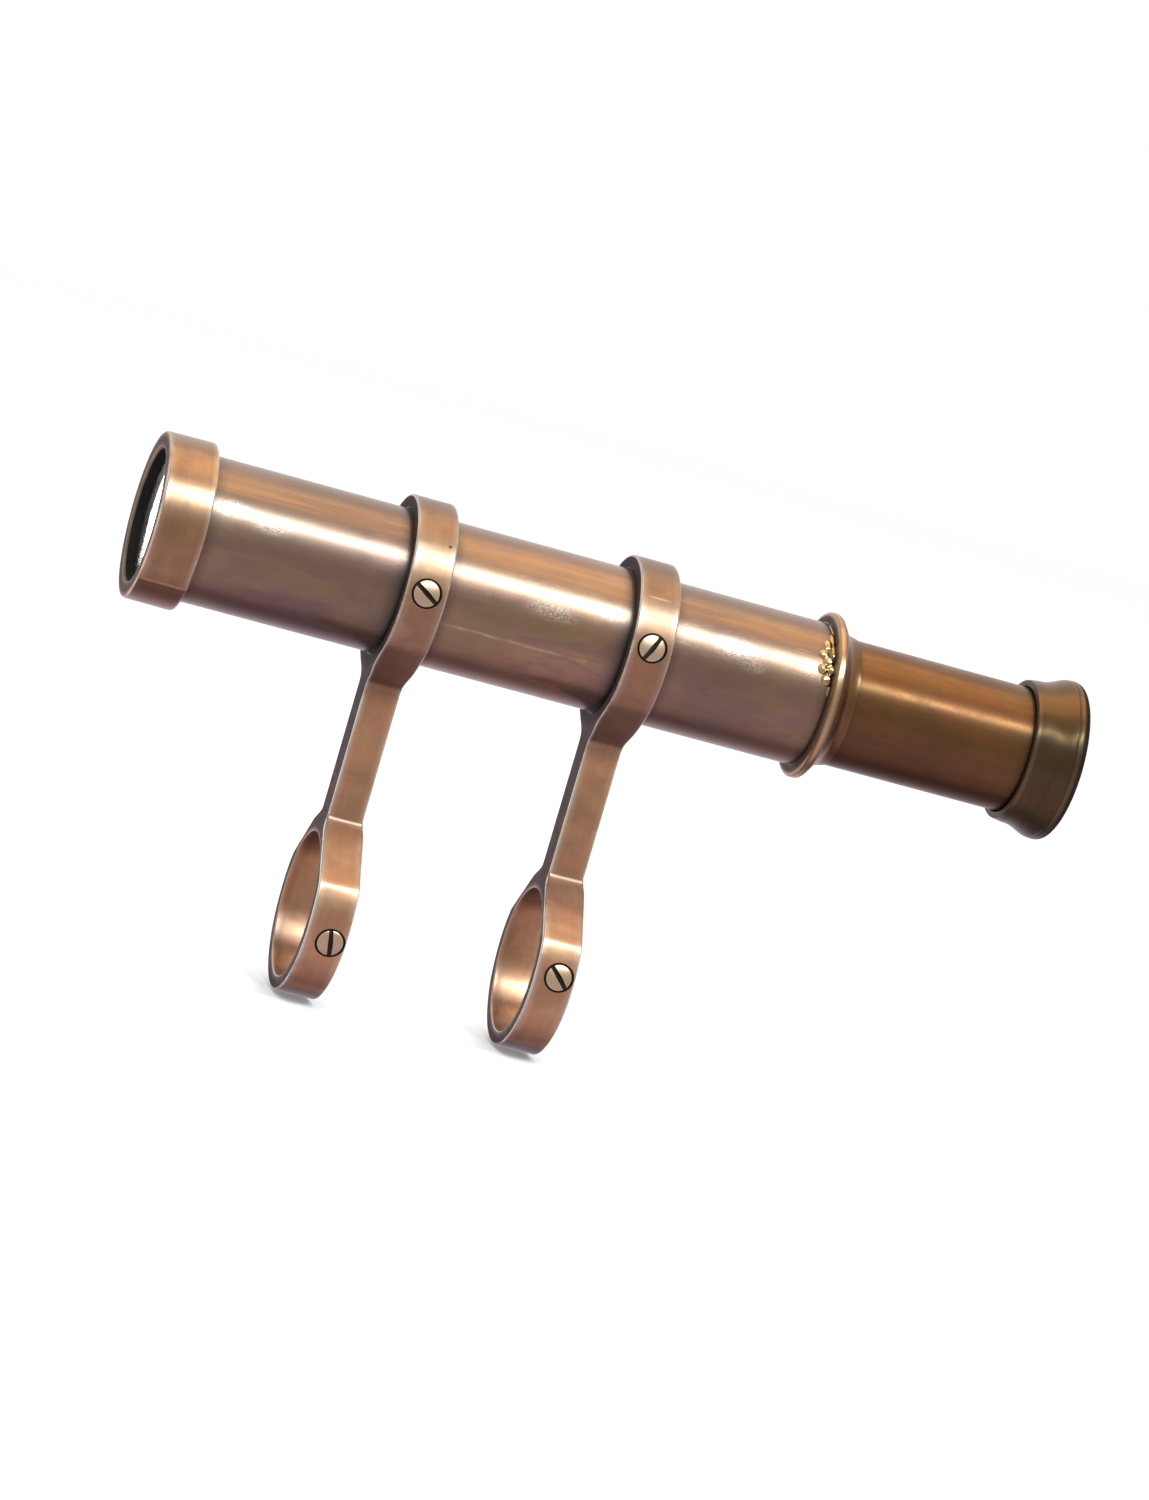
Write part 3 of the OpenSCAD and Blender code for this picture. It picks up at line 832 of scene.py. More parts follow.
def build_draw_tube():
    front, rear = DRAW_LO.x, DRAW_HI.x
    shell = lathe("draw_tube_shell", [
        (DRAW_R, front, 0.2, 0.5, 0), (DRAW_R, rear, 0.2, 0.5, 0),
        (DRAW_R - TUBE_WALL, rear, 0.2, 0, 1), (DRAW_R - TUBE_WALL, front, 0.2, 0, 1)],
        [DRAW_BRASS, BLACK], segments=160, step=1.6,
        shape=uneven_skin(DRAW_R, depth=0.025, seed=23.0))
    place(shell, "draw_tube", "draw_tube", "draw_tube_brass")


# ---------------------------------------------------------------- objective cell
MOUTH_R = 16.5          # clear opening ahead of the lens
LENS_SEAT_R = 17.5
SEAM_DEPTH = 0.10       # step down at the seam
SEAM_SPREAD = 1.3       # angle below the seam, in radians, before the step fades


def build_objective_cell():
    front, rear = CELL_LO.x, CELL_HI.x
    tube_stop = TUBE_LO.x - 0.1
    lens_stop = LENS_FRONT + 1.0
    seam = math.radians(180 - SEAM_DEG)

    def shape(r, x, a):
        if r > CELL_R - 0.9 and front + 0.2 < x < rear - 0.1:
            d = (a - seam + math.pi) % TAU - math.pi
            fade = 1 if d < SEAM_SPREAD else max(0.0, 1 - (d - SEAM_SPREAD) * 2)
            r -= SEAM_DEPTH / (1 + math.exp(-d * 60)) * fade
            r += unevenness(x, a, depth=0.02, seed=9.0)
        return r, x

    def marks(r, x, a):
        if r > CELL_R - 0.9 and x > front + 0.3:
            return 0.0, 0.0, 0.0
        if x < front + 1.2 and r < CELL_R - 0.35:
            return 0.35, 0.0, 1.0
        return 0.0, 0.0, 0.0

    shell = lathe("cell_shell", [
        (MOUTH_R, front + 0.55, 0.30, 0.2, 0), (17.0, front + 0.05, 0.3, 0.5, 0),
        (CELL_R - 0.15, front, 0.75, 0.9, 0), (CELL_R, rear, 0.7, 1.2, 0),
        (TUBE_R + 0.45, rear, 0.1, 0.2, 0), (TUBE_R + 0.05, rear - 0.5, 0.1, 0, 1),
        (TUBE_R + 0.05, tube_stop, 0.05, 0, 1), (LENS_SEAT_R, tube_stop, 0.05, 0, 1),
        (LENS_SEAT_R, lens_stop, 0.05, 0, 1), (MOUTH_R, lens_stop, 0.05, 0, 1)],
        [CELL_BRASS, BLACK], segments=200, step=1.1, shape=shape, marks=marks)
    place(shell, "finder_tube", "objective_cell", "cell_brass")


# ---------------------------------------------------------------- rear collar with its braze
TUBE_END = TUBE_HI.x
SKIRT_R = TUBE_R - 0.12     # hidden just under the tube's skin, except where braze lifts it
# Lumps of braze: x from the tube's end, degrees up from the camera side, half axes along and
# round, height
LUMPS = [
    (-2.9, 40, 1.4, 1.35, 0.75), (-1.6, 34, 1.4, 1.4, 0.85), (-0.5, 28, 1.3, 1.5, 0.75),
    (-2.8, 27, 1.35, 1.35, 0.80), (-1.3, 19, 1.5, 1.5, 0.80), (-2.0, 50, 1.1, 1.9, 0.50),
    (-0.6, 57, 0.8, 2.4, 0.36), (-0.2, 74, 0.5, 3.0, 0.24), (-0.3, 11, 0.5, 1.4, 0.26),
    (-0.3, 44, 0.9, 2.0, 0.45), (-0.1, 100, 0.4, 3.4, 0.2), (-0.1, 190, 0.3, 3.0, 0.16)]
# Shoulder behind the bead: radius, x from the tube's end
SHOULDER = [
    (20.2, 2.72), (19.7, 3.12), (19.0, 3.58), (18.4, 3.98), (17.8, 4.47),
    (17.3, 5.02), (16.9, 5.68), (16.6, 6.45), (16.4, 7.3), (16.3, 7.85)]


def arc(centre_r, centre_x, radius, start, end, steps, wear):
    """Profile points on an arc between two angles in degrees."""
    angles = [math.radians(start + (end - start) * i / steps) for i in range(steps + 1)]
    return [(centre_r + radius * math.cos(q), centre_x + radius * math.sin(q), 0, wear, 0)
            for q in angles]


def braze_height(x, a):
    """Height of the braze that stands on the tube just ahead of the bead."""
    up_angle = math.degrees(math.pi - a)
    height = 0.0
    for from_end, angle, half_x, half_around, top in LUMPS:
        off_around = math.radians((up_angle - angle + 180) % 360 - 180) * TUBE_R
        q = ((x - TUBE_END - from_end) / half_x) ** 2 + (off_around / half_around) ** 2
        if q < 1:
            height = max(height, top * (1 - q) ** 0.55)
    if height > 0:
        spot = Vector((x * 1.7, math.cos(a) * 30, math.sin(a) * 30))
        height *= 1 + 0.25 * noise.noise(spot)
    return height


def on_skirt(r, x):
    return abs(r - SKIRT_R) < 0.01 and x < TUBE_END + 0.03


def collar_shape(r, x, a):
    if on_skirt(r, x):
        height = braze_height(x, a)
        if height > 0.03:
            r += 0.10 + height
    elif x < TUBE_END + 1.3 and TUBE_R < r < TUBE_R + 2.0:
        x -= 0.5 * braze_height(TUBE_END - 0.3, a)
    return r, x


def collar_braze_and_shade(r, x, a):
    if on_skirt(r, x):
        return 0.0, min(1.0, braze_height(x, a) * 8), 0.0
    # painted shade on the bead's front face
    if x < TUBE_END + 0.6 and r < TUBE_R + 2.3:
        return 0.6, 0.0, 0.85
    # painted shade in the groove behind the bead
    if TUBE_END + 2.4 < x < TUBE_END + 3.4 and r > 18.5:
        return 0.7, 0.0, 0.3
    return 0.0, 0.0, 0.0


def build_rear_collar():
    guide_r = DRAW_R + 0.05
    relief_r = DRAW_R + 0.6
    sleeve_r = TUBE_R - 1.02
    lip_x = COLLAR_HI.x - 5.2
    inside = [(guide_r, COLLAR_HI.x), (guide_r, lip_x), (relief_r, lip_x),
              (relief_r, COLLAR_LO.x), (sleeve_r, COLLAR_LO.x), (sleeve_r, TUBE_END - 4.6),
              (SKIRT_R - 0.4, TUBE_END - 4.6)]
    skirt = [(SKIRT_R, TUBE_END - 4.4 + 0.16 * i) for i in range(28)]
    bead_front = [(TUBE_R + 0.2 * i, TUBE_END + 0.02) for i in range(1, 9)]
    profile = [(r, x, 0, 0.0, 0) for r, x in inside + skirt + bead_front]
    profile += arc(20.35, TUBE_END + 0.9, 0.75, start=-75, end=-20, steps=6, wear=0.25)
    profile += arc(20.35, TUBE_END + 0.9, 0.75, start=-10, end=0, steps=2, wear=0.9)
    profile += arc(20.3, TUBE_END + 1.7, 0.8, start=5, end=75, steps=7, wear=0.35)
    profile += [(r, TUBE_END + x, 0, 0.05, 0) for r, x in SHOULDER]
    shell = lathe("collar_shell", profile, [COLLAR_BRASS], segments=360, step=1.5,
                  shape=collar_shape, marks=collar_braze_and_shade, sharp=50)
    place(shell, "finder_tube", "rear_collar", "collar_brass")


# ---------------------------------------------------------------- eyecup
CUP_GROWTH = CUP_R - 20.5     # the stations are for a cup of radius 20.5
# Outside and dished rear: radius, x from the cup's front, share of the growth
CUP_STATIONS = [
    (17.45, 0.0, 0), (17.75, 0.10, 0), (17.93, 0.42, 0), (18.06, 1.1, 0), (18.22, 2.1, 0),
    (18.32, 3.3, 0), (18.44, 4.4, 0), (18.69, 5.5, 0), (19.08, 6.6, 0.5), (19.55, 7.7, 1),
    (19.98, 8.7, 1), (20.28, 9.5, 1), (20.38, 10.0, 1), (20.30, 10.35, 1), (20.44, 10.75, 1),
    (20.5, 11.4, 1), (20.4, 12.1, 1), (20.1, 12.75, 1), (19.6, 13.17, 1), (19.0, 13.3, 1),
    (18.4, 13.12, 1), (17.6, 12.45, 1), (16.4, 11.3, 0), (15.1, 10.2, 0), (13.6, 9.2, 0),
    (11.9, 8.25, 0), (10.5, 7.6, 0), (9.75, 7.33, 0)]


def spline(points, steps=4):
    """Catmull-Rom curve through the points."""
    out = []
    last = len(points) - 1
    for i in range(last):
        p0, p1, p2, p3 = [Vector(points[min(max(k, 0), last)]) for k in range(i - 1, i + 3)]
        for j in range(steps):
            s = j / steps
            v = 0.5 * ((2 * p1) + (p2 - p0) * s + (2 * p0 - 5 * p1 + 4 * p2 - p3) * s * s
                       + (3 * p1 - p0 - 3 * p2 + p3) * s ** 3)
            out.append((v.x, v.y))
    out.append(tuple(points[-1]))
    return out


def build_eyecup():
    front = CUP_LO.x

    def marks(r, x, a):
        # painted shade on the front face
        if x < front + 0.15 and r < 17.8:
            return 0.9, 0.0, 0.6
        if x > front + 11.55 and r > 18.0:
            return 0.0, 0.0, min(1.0, (x - front - 11.5) * 3.0)
        # painted shade in the groove
        if abs(x - front - 10.35) < 0.3 and r > 19.5:
            return 0.5, 0.0, 0.0
        return 0.0, 0.0, 0.0

    profile = [(DRAW_R + 0.35, front + 0.02, 0, 0, 0)]
    for r, x in spline([(r + CUP_GROWTH * share, x) for r, x, share in CUP_STATIONS]):
        worn = (0.1 < x < 1.1 and r > 17.6) or (10.6 < x < 11.3 and r > 19.5)
        profile.append((r, front + x, 0, 0.8 if worn else 0.0, 0))
    profile += [(9.56, front + 7.15, 0, 0, 0), (9.56, front + 5.2, 0, 0, 1),
                (DRAW_R + 0.05, front + 5.2, 0, 0, 1), (DRAW_R + 0.05, front + 0.5, 0, 0, 1)]
    shell = lathe("eyecup_shell", profile, [CUP_BRASS, BLACK], segments=176, step=2.0,
                  marks=marks, sharp=50)
    place(shell, "eyepiece", "eyecup", "eyecup_brass")


# ---------------------------------------------------------------- brackets
RIM_EDGE = 0.60          # edge radius round the outline
BORE_EDGE = 0.38         # edge radius in the bores
BORE_SEGMENTS = 144
OUTLINE_SPACING = 0.5
FACE_SPACING = 1.15      # grid of the end faces
FACE_CLEARANCE = 0.55    # least distance of a grid point from another vertex
STALK_INSET = 0.7        # how far the stalk's faces lie behind the rings'


def even_out(points, spacing):
    """Space the points of a closed loop evenly."""
    lengths = [0.0]
    for i in range(len(points)):
        a, b = points[i], points[(i + 1) % len(points)]
        lengths.append(lengths[-1] + math.hypot(b[0] - a[0], b[1] - a[1]))
    count = int(lengths[-1] / spacing)
    out, i = [], 0
    for j in range(count):
        s = lengths[-1] * j / count
        while lengths[i + 1] < s:
            i += 1
        a, b = points[i], points[(i + 1) % len(points)]
        share = (s - lengths[i]) / max(lengths[i + 1] - lengths[i], 1e-9)
        out.append((a[0] + (b[0] - a[0]) * share, a[1] + (b[1] - a[1]) * share))
    return out


def soften(loop, passes=5):
    count = len(loop)
    for _ in range(passes):
        loop = [tuple((loop[i - 1][k] + 2 * loop[i][k] + loop[(i + 1) % count][k]) / 4
                      for k in (0, 1)) for i in range(count)]
    return loop


def outline():
    """Outline of a bracket in (y, z), anticlockwise, evenly spaced, corners softened."""
    normal = math.degrees(math.atan2(FLAT_NZ, FLAT_NY))
    lower_end = normal - math.degrees(math.acos(LOWER_FLAT_R / RING_R))
    upper_end = normal - math.degrees(math.acos(UPPER_FLAT_R / RING_R))
    points = []
    for i in range(0, 121):
        a = math.radians(-90 + (lower_end + 90) * i / 120)
        points.append((RING_R * math.cos(a), RING_R * math.sin(a)))
    points.append((STALK_HALF, CREASE_Z))
    points.append((STALK_HALF, AXIS_Z - (UPPER_FLAT_R - FLAT_NY * STALK_HALF) / FLAT_NZ))
    for i in range(0, 121):
        a = math.radians(-upper_end + (90 + upper_end) * i / 120)
        points.append((RING_R * math.cos(a), AXIS_Z + RING_R * math.sin(a)))
    points += [(-y, z) for y, z in reversed(points[1:-1])]
    return soften(even_out(points, OUTLINE_SPACING))


def inward(loop):
    """Unit normals that point into an anticlockwise loop."""
    out = []
    for i in range(len(loop)):
        a, b = loop[i - 1], loop[(i + 1) % len(loop)]
        ty, tz = b[0] - a[0], b[1] - a[1]
        length = math.hypot(ty, tz)
        out.append((-tz / length, ty / length))
    return out


def half_width(y, z):
    """Half the bracket's width along x: full on the rings, a little less on the stalk."""
    distance = min(math.hypot(y, z), math.hypot(y, z - AXIS_Z))
    t = max(0.0, min(1.0, (distance - RING_R + 0.2) / 3.0))
    t = t * t * (3 - 2 * t)
    return RING_W / 2 - STALK_INSET * t


def band_profile(edge, angles, middle):
    """Section of a band with rounded edges, from low to high x.

    Rows are (inset, side, depth); side 0 marks the flat middle, where depth is a share of
    the half width.
    """
    rounded = [(edge * (1 - math.sin(q)), edge * (1 - math.cos(q)))
               for q in [math.radians(v) for v in angles]]
    return ([(inset, -1, depth) for inset, depth in rounded]
            + [(0.0, 0, share) for share in middle]
            + [(inset, 1, depth) for inset, depth in reversed(rounded)])


def band_x(side, depth, half):
    return side * (half - depth) if side else depth * half


def rim_marks(side, inset):
    """Wear and face of a rim row."""
    if not side:
        return 0.0, 0.0
    if inset >= RIM_EDGE * 0.99:
        return 0.0, 1.0
    return (1.0 if inset > 0.01 else 0.25), (0.35 if inset > RIM_EDGE * 0.6 else 0.0)


def add_rim(bm, layers, x_mid, seed):
    loop = outline()
    normals = inward(loop)
    rows = []
    for inset, side, depth in band_profile(RIM_EDGE, angles=(0, 22.5, 45, 67.5, 90),
                                           middle=(-0.6, -0.2, 0.2, 0.6)):
        row = []
        for (y, z), (ny, nz) in zip(loop, normals):
            x = band_x(side, depth, half_width(y, z))
            slow = noise.noise(Vector((y * 0.16 + seed, z * 0.16, x * 0.2)))
            quick = noise.noise(Vector((y * 0.6 + seed, z * 0.6, x * 0.6)))
            offset = inset + 0.03 + (0.05 * slow + 0.02 * quick)
            v = bm.verts.new(((x_mid + x) * MM, (y + ny * offset) * MM,
                              (z + nz * offset) * MM))
            v[layers["wear"]], v[layers["face"]] = rim_marks(side, inset)
            row.append(v)
        rows.append(row)
    for first, second in zip(rows, rows[1:]):
        skin(bm, first, second)
    return rows


def add_bore(bm, layers, x_mid, z_mid):
    rows = []
    for inset, side, depth in band_profile(BORE_EDGE, angles=(0, 30, 60, 90),
                                           middle=(-0.5, 0.0, 0.5)):
        row = []
        r = BORE_R + inset
        x = band_x(side, depth, RING_W / 2)
        for i in range(BORE_SEGMENTS):
            a = TAU * i / BORE_SEGMENTS
            v = bm.verts.new(((x_mid + x) * MM, r * math.cos(a) * MM,
                              (z_mid + r * math.sin(a)) * MM))
            v[layers["wear"]] = 0.15 if side else 0.0
            v[layers["face"]] = 1.0 if side and inset >= BORE_EDGE * 0.99 else 0.0
            row.append(v)
        rows.append(row)
    for first, second in zip(rows, rows[1:]):
        for i in range(BORE_SEGMENTS):
            j = (i + 1) % BORE_SEGMENTS
            bm.faces.new((first[j], first[i], second[i], second[j]))
    return rows


def in_bore(y, z, margin=0.0):
    r = BORE_R + BORE_EDGE - margin
    return math.hypot(y, z) < r or math.hypot(y, z - AXIS_Z) < r


def in_loop(loop, y, z):
    inside = False
    for i in range(len(loop)):
        a, b = loop[i], loop[(i + 1) % len(loop)]
        if (a.y > z) != (b.y > z) and y < (b.x - a.x) * (z - a.y) / (b.y - a.y) + a.x:
            inside = not inside
    return inside


def add_end_face(bm, layers, loops, side, x_mid, seed):
    """Fill between the outline and the bores, with a grid of points between them."""
    points, verts, edges = [], [], []
    for loop in loops:
        base, count = len(points), len(loop)
        points += [Vector((v.co.y / MM, v.co.z / MM)) for v in loop]
        verts += loop
        edges += [(base + i, base + (i + 1) % count) for i in range(count)]
    border = points[:len(loops[0])]
    tree = kdtree.KDTree(len(points))
    for i, p in enumerate(points):
        tree.insert((p.x, p.y, 0), i)
    tree.balance()
    y = -RING_R
    while y < RING_R:
        z = -RING_R
        while z < AXIS_Z + RING_R:
            clear = tree.find((y, z, 0))[2] > FACE_CLEARANCE
            if clear and not in_bore(y, z) and in_loop(border, y, z):
                ripple = noise.noise(Vector((y * 0.2 + seed, z * 0.2, side * 3.0)))
                half = half_width(y, z) - 0.06 * (0.5 + 0.5 * ripple)
                v = bm.verts.new(((x_mid + side * half) * MM, y * MM, z * MM))
                v[layers["face"]] = 1.0
                points.append(Vector((y, z)))
                verts.append(v)
            z += FACE_SPACING
        y += FACE_SPACING
    _, _, triangles, origins, _, _ = delaunay_2d_cdt(points, edges, [], 1, 1e-7)
    source = [origin[0] if origin else None for origin in origins]
    for triangle in triangles:
        corners = [source[i] for i in triangle]
        if None in corners:
            continue
        middle = sum((points[i] for i in corners), Vector((0, 0))) / 3
        if in_bore(middle.x, middle.y, margin=0.005):
            continue
        try:
            bm.faces.new([verts[i] for i in corners])
        except ValueError:
            pass    # merged points can give a face twice or one with a repeated corner


def build_casting(name, x_mid, seed):
    bm = bmesh.new()
    layers = mark_layers(bm, ("wear", "face", "stain", "braze"))
    rim = add_rim(bm, layers, x_mid, seed)
    bores = [add_bore(bm, layers, x_mid, z_mid) for z_mid in (0.0, AXIS_Z)]
    for end, side in ((0, -1), (-1, 1)):
        loops = [rim[end]] + [bore[end] for bore in bores]
        add_end_face(bm, layers, loops, side, x_mid, seed)
    return finish_mesh(name, bm, [CASTING_BRASS, SEAT_SHADE], 40)


# ---------------------------------------------------------------- clamp screws and their seats
# Each screw: the bracket that holds it, and its slot's turn in degrees
SCREWS = {
    "upper_front_screw": ("front_bracket", -33), "upper_rear_screw": ("rear_bracket", 64),
    "lower_front_screw": ("front_bracket", 102), "lower_rear_screw": ("rear_bracket", -46)}
# Heights along a screw's axis, from its ring's centre
HEAD_BASE = 20.95
HEAD_EDGE = 21.88
HEAD_DOME = 0.68         # rise of the dome above the head's edge
SHANK_R = 2.0
SLOT_HALF = 0.55
SLOT_FLOOR = 21.55
# Hole cut in a casting: radius, height, wear
SEAT_PROFILE = [
    (0, 16, 0), (2.05, 16, 0), (2.05, 20.9, 0), (HEAD_R + 0.25, 20.9, 0),
    (HEAD_R + 0.33, 21.3, 0), (HEAD_R + 0.62, 22.3, 0), (HEAD_R + 0.7, 25, 0), (0, 25, 0)]
# Section of the slot's cutter: distance across, height
SLOT_SECTION = [
    (-SLOT_HALF - 0.12, 24), (-SLOT_HALF - 0.12, 22.62), (-SLOT_HALF, 22.35),
    (-SLOT_HALF + 0.04, SLOT_FLOOR), (SLOT_HALF - 0.04, SLOT_FLOOR), (SLOT_HALF, 22.35),
    (SLOT_HALF + 0.12, 22.62), (SLOT_HALF + 0.12, 24)]


def screw_frame(name):
    """Matrix whose z is the screw's outward axis and whose x stays along the tube; origin."""
    joint = joints[name + "_turn"]
    z = Vector(joint["axis"]).normalized()
    x = Vector((1, 0, 0))
    y = z.cross(x).normalized()
    return Matrix((x, y, z)).transposed(), Vector(joint["pos_m"]) / MM


def spin(points, segments, turn, origin):
    """Solid of revolution from (radius, height, wear); its first and last lie on the axis."""
    bm = bmesh.new()
    wear_layer = mark_layers(bm)["wear"]
    rings = []
    for r, height, wear in points:
        ring = []
        for i in range(segments if r >= 1e-6 else 1):
            a = TAU * i / segments
            local = Vector((r * math.cos(a), r * math.sin(a), height))
            v = bm.verts.new((turn @ local + origin) * MM)
            v[wear_layer] = wear
            ring.append(v)
        rings.append(ring)
    for first, second in zip(rings, rings[1:]):
        if len(first) > 1 and len(second) > 1:
            skin(bm, first, second)
            continue
        for i in range(segments):
            j = (i + 1) % segments
            if len(first) == 1:
                bm.faces.new((first[0], second[i], second[j]))
            else:
                bm.faces.new((first[i], first[j], second[0]))
    return bm


def cut(ob, cutter):
    """Take the cutter out of the object and remove it."""
    modifier = ob.modifiers.new("cut", "BOOLEAN")
    modifier.operation = "DIFFERENCE"
    modifier.object = cutter
    modifier.solver = "EXACT"
    modifier.material_mode = "TRANSFER"
    bpy.context.view_layer.update()
    depsgraph = bpy.context.evaluated_depsgraph_get()
    mesh = bpy.data.meshes.new_from_object(
        ob.evaluated_get(depsgraph), preserve_all_data_layers=True, depsgraph=depsgraph)
    ob.modifiers.clear()
    old = ob.data
    ob.data = mesh
    mesh.name = old.name
    bpy.data.objects.remove(cutter, do_unlink=True)


def build_brackets():
    castings = {
        "front_bracket": build_casting("front_bracket_casting",
                                       (FRONT_LO.x + FRONT_HI.x) / 2, seed=1.0),
        "rear_bracket": build_casting("rear_bracket_casting",
                                      (REAR_LO.x + REAR_HI.x) / 2, seed=31.0)}
    for name, (holder, _) in SCREWS.items():
        bm = spin(SEAT_PROFILE, 56, *screw_frame(name))
        cut(castings[holder], finish_mesh("cut_" + name, bm, [SEAT_SHADE], 40))
    for name, ob in castings.items():
        bm = bmesh.new()
        bm.from_mesh(ob.data)
        bmesh.ops.remove_doubles(bm, verts=bm.verts, dist=1e-7)
        bmesh.ops.dissolve_degenerate(bm, edges=bm.edges, dist=1e-7)
        bm.to_mesh(ob.data)
        bm.free()
        smooth(ob.data, 40)
        place(ob, name, name, "casting_brass")


def slot_cutter(name, angle, turn, origin):
    bm = bmesh.new()
    a = math.radians(angle)
    ends = []
    for along in (-5.0, 5.0):
        row = []
        for across, height in SLOT_SECTION:
            local = Vector((along * math.cos(a) - across * math.sin(a),
                            along * math.sin(a) + across * math.cos(a), height))
            row.append(bm.verts.new((turn @ local + origin) * MM))
        ends.append(row)
    skin(bm, ends[0], ends[1])
    bm.faces.new(ends[0])
    bm.faces.new(list(reversed(ends[1])))
    return finish_mesh("slot_" + name, bm, [SEAT_SHADE], 30)


def build_screw(name, slot_angle):
    turn, origin = screw_frame(name)
    tip = BORE_R + (0.02 if name.startswith("upper") else 0.1)
    dome_r = HEAD_R - 0.2
    points = [
        (0, tip, 0), (1.6, tip, 0), (SHANK_R, tip + 0.4, 0), (SHANK_R, HEAD_BASE, 0),
        (HEAD_R - 0.1, HEAD_BASE, 0), (HEAD_R, 21.1, 0.3), (HEAD_R, 21.6, 0.6),
        (HEAD_R - 0.06, 21.76, 1.0), (dome_r, HEAD_EDGE, 1.0)]
    for i in range(1, 8):
        r = dome_r * (1 - i / 8)
        points.append((r, HEAD_EDGE + HEAD_DOME * (1 - (r / dome_r) ** 2), 0.25))
    points.append((0, HEAD_EDGE + HEAD_DOME, 0.2))
    ob = finish_mesh(name + "_turned", spin(points, 64, turn, origin), [SCREW_BRASS, SEAT_SHADE], 40)
    cut(ob, slot_cutter(name, slot_angle, turn, origin))
    smooth(ob.data, 35)
    place(ob, name, name, "screw_brass")


# ---------------------------------------------------------------- build the pieces
build_main_tube()
build_objective_cell()
build_rear_collar()
build_draw_tube()
build_eyecup()
build_brackets()
for screw_name, (_, slot_angle) in SCREWS.items():
    build_screw(screw_name, slot_angle)

# CAD pieces that keep their own meshes
CAD_SURFACES = [
    (GLASS, ("crown_lens", "flint_lens", "field_lens", "eye_lens")),
    (FOIL, ("lens_spacer_ring",)),
    (BLACK, ("objective_retaining_ring", "baffle_ring", "reticle_ring")),
    (CLOTH, ("guide_lining",)),
    (WIRE, ("crosswires",)),
    (INNER_BRASS, ("draw_tube_stop_ring", "eyepiece_tube", "field_lens_retaining_ring",
                   "eye_lens_retaining_ring"))]
for material, node_names in CAD_SURFACES:
    for node_name in node_names:
        slots = frame["nodes"][node_name].data.materials
        slots.clear()
        slots.append(material)

# ---------------------------------------------------------------- floor (metres from here on)
scene = bpy.context.scene
scene.view_settings.view_transform = "Standard"
scene.view_settings.look = "None"

FLOOR_Z = cad_lo.z - 0.0006
FLOOR_SIZE = 6.0
FLOOR_CELLS = 60


def build_floor():
    bm = bmesh.new()
    steps = [(i / FLOOR_CELLS - 0.5) * FLOOR_SIZE for i in range(FLOOR_CELLS + 1)]
    rows = [[bm.verts.new((x, y, FLOOR_Z)) for x in steps] for y in steps]
    for near, far in zip(rows, rows[1:]):
        for i in range(FLOOR_CELLS):
            bm.faces.new((near[i], near[i + 1], far[i + 1], far[i]))
    mesh = bpy.data.meshes.new("floor")
    bm.to_mesh(mesh)
    bm.free()
    floor = bpy.data.objects.new("floor", mesh)
    scene.collection.objects.link(floor)
    material, t, shader = new_material("pale_floor")
    t.put_all(shader, {
        "Base Color": (0.90, 0.90, 0.90, 1),
        "Roughness": 0.8,
        "Specular IOR Level": 0.1,
        "Emission Color": (1, 1, 1, 1),
        "Emission Strength": 0.16})
    mesh.materials.append(material)
    floor.visible_glossy = False


# ---------------------------------------------------------------- world
# Reflected surroundings: degrees round the x axis (0 towards -y, 90 overhead), colour
SURROUNDINGS = [
    (-180, (0.85, 0.83, 0.86)), (-155, (0.66, 0.60, 0.68)), (-124, (0.30, 0.23, 0.27)),
    (-110, (0.165, 0.11, 0.125)), (-98, (0.19, 0.135, 0.145)), (-82, (0.42, 0.33, 0.36)),
    (-50, (0.49, 0.42, 0.46)), (-20, (0.44, 0.38, 0.39)), (4, (0.365, 0.325, 0.285)),
    (30, (0.42, 0.37, 0.32)), (66, (0.64, 0.50, 0.35)), (95, (0.68, 0.54, 0.385)),
    (118, (0.74, 0.68, 0.62)), (150, (0.70, 0.68, 0.70)), (180, (0.85, 0.83, 0.86))]


def build_world():
    """White to the camera, pale grey as light, the surroundings in reflections."""
    world = bpy.data.worlds.new("studio")
    scene.world = world
    world.use_nodes = True
    world.cycles.sampling_method = "NONE"
    t = Nodes(world.node_tree)
    output = t.add("ShaderNodeOutputWorld")
    background = t.add("ShaderNodeBackground")
    t.put(output.inputs[0], background.outputs[0])
    _, y, z = t.position("Generated")
    angle = t.math("ARCTAN2", z, t.times(y, -1.0))
    reflected = t.ramp(t.plus(t.over(angle, TAU), 0.5),
                       [(degrees / 360 + 0.5, colour) for degrees, colour in SURROUNDINGS])
    ray = t.add("ShaderNodeLightPath")
    colour = t.mix(ray.outputs["Is Glossy Ray"], (0.93, 0.93, 0.93), reflected)
    colour = t.mix(ray.outputs["Is Camera Ray"], colour, (1.0, 1.0, 1.0))
    t.put(background.inputs["Color"], colour)


# ---------------------------------------------------------------- lights
FINDER_MIDDLE = Vector((0.050, 0, 0.0825))
LENS_MIDDLE = Vector((-0.067, 0, 0.0825))


def card(name, where, aim, width, height, power, color=(1, 1, 1)):
    light = bpy.data.lights.new(name, "AREA")
    light.shape = "RECTANGLE"
    light.size = width
    light.size_y = height
    light.energy = power
    light.color = color
    ob = bpy.data.objects.new(name, light)
    scene.collection.objects.link(ob)
    ob.location = where
    facing = (Vector(aim) - Vector(where)).to_track_quat("-Z", "Y")
    ob.rotation_euler = facing.to_matrix().to_euler()
    ob.visible_camera = False
    return ob


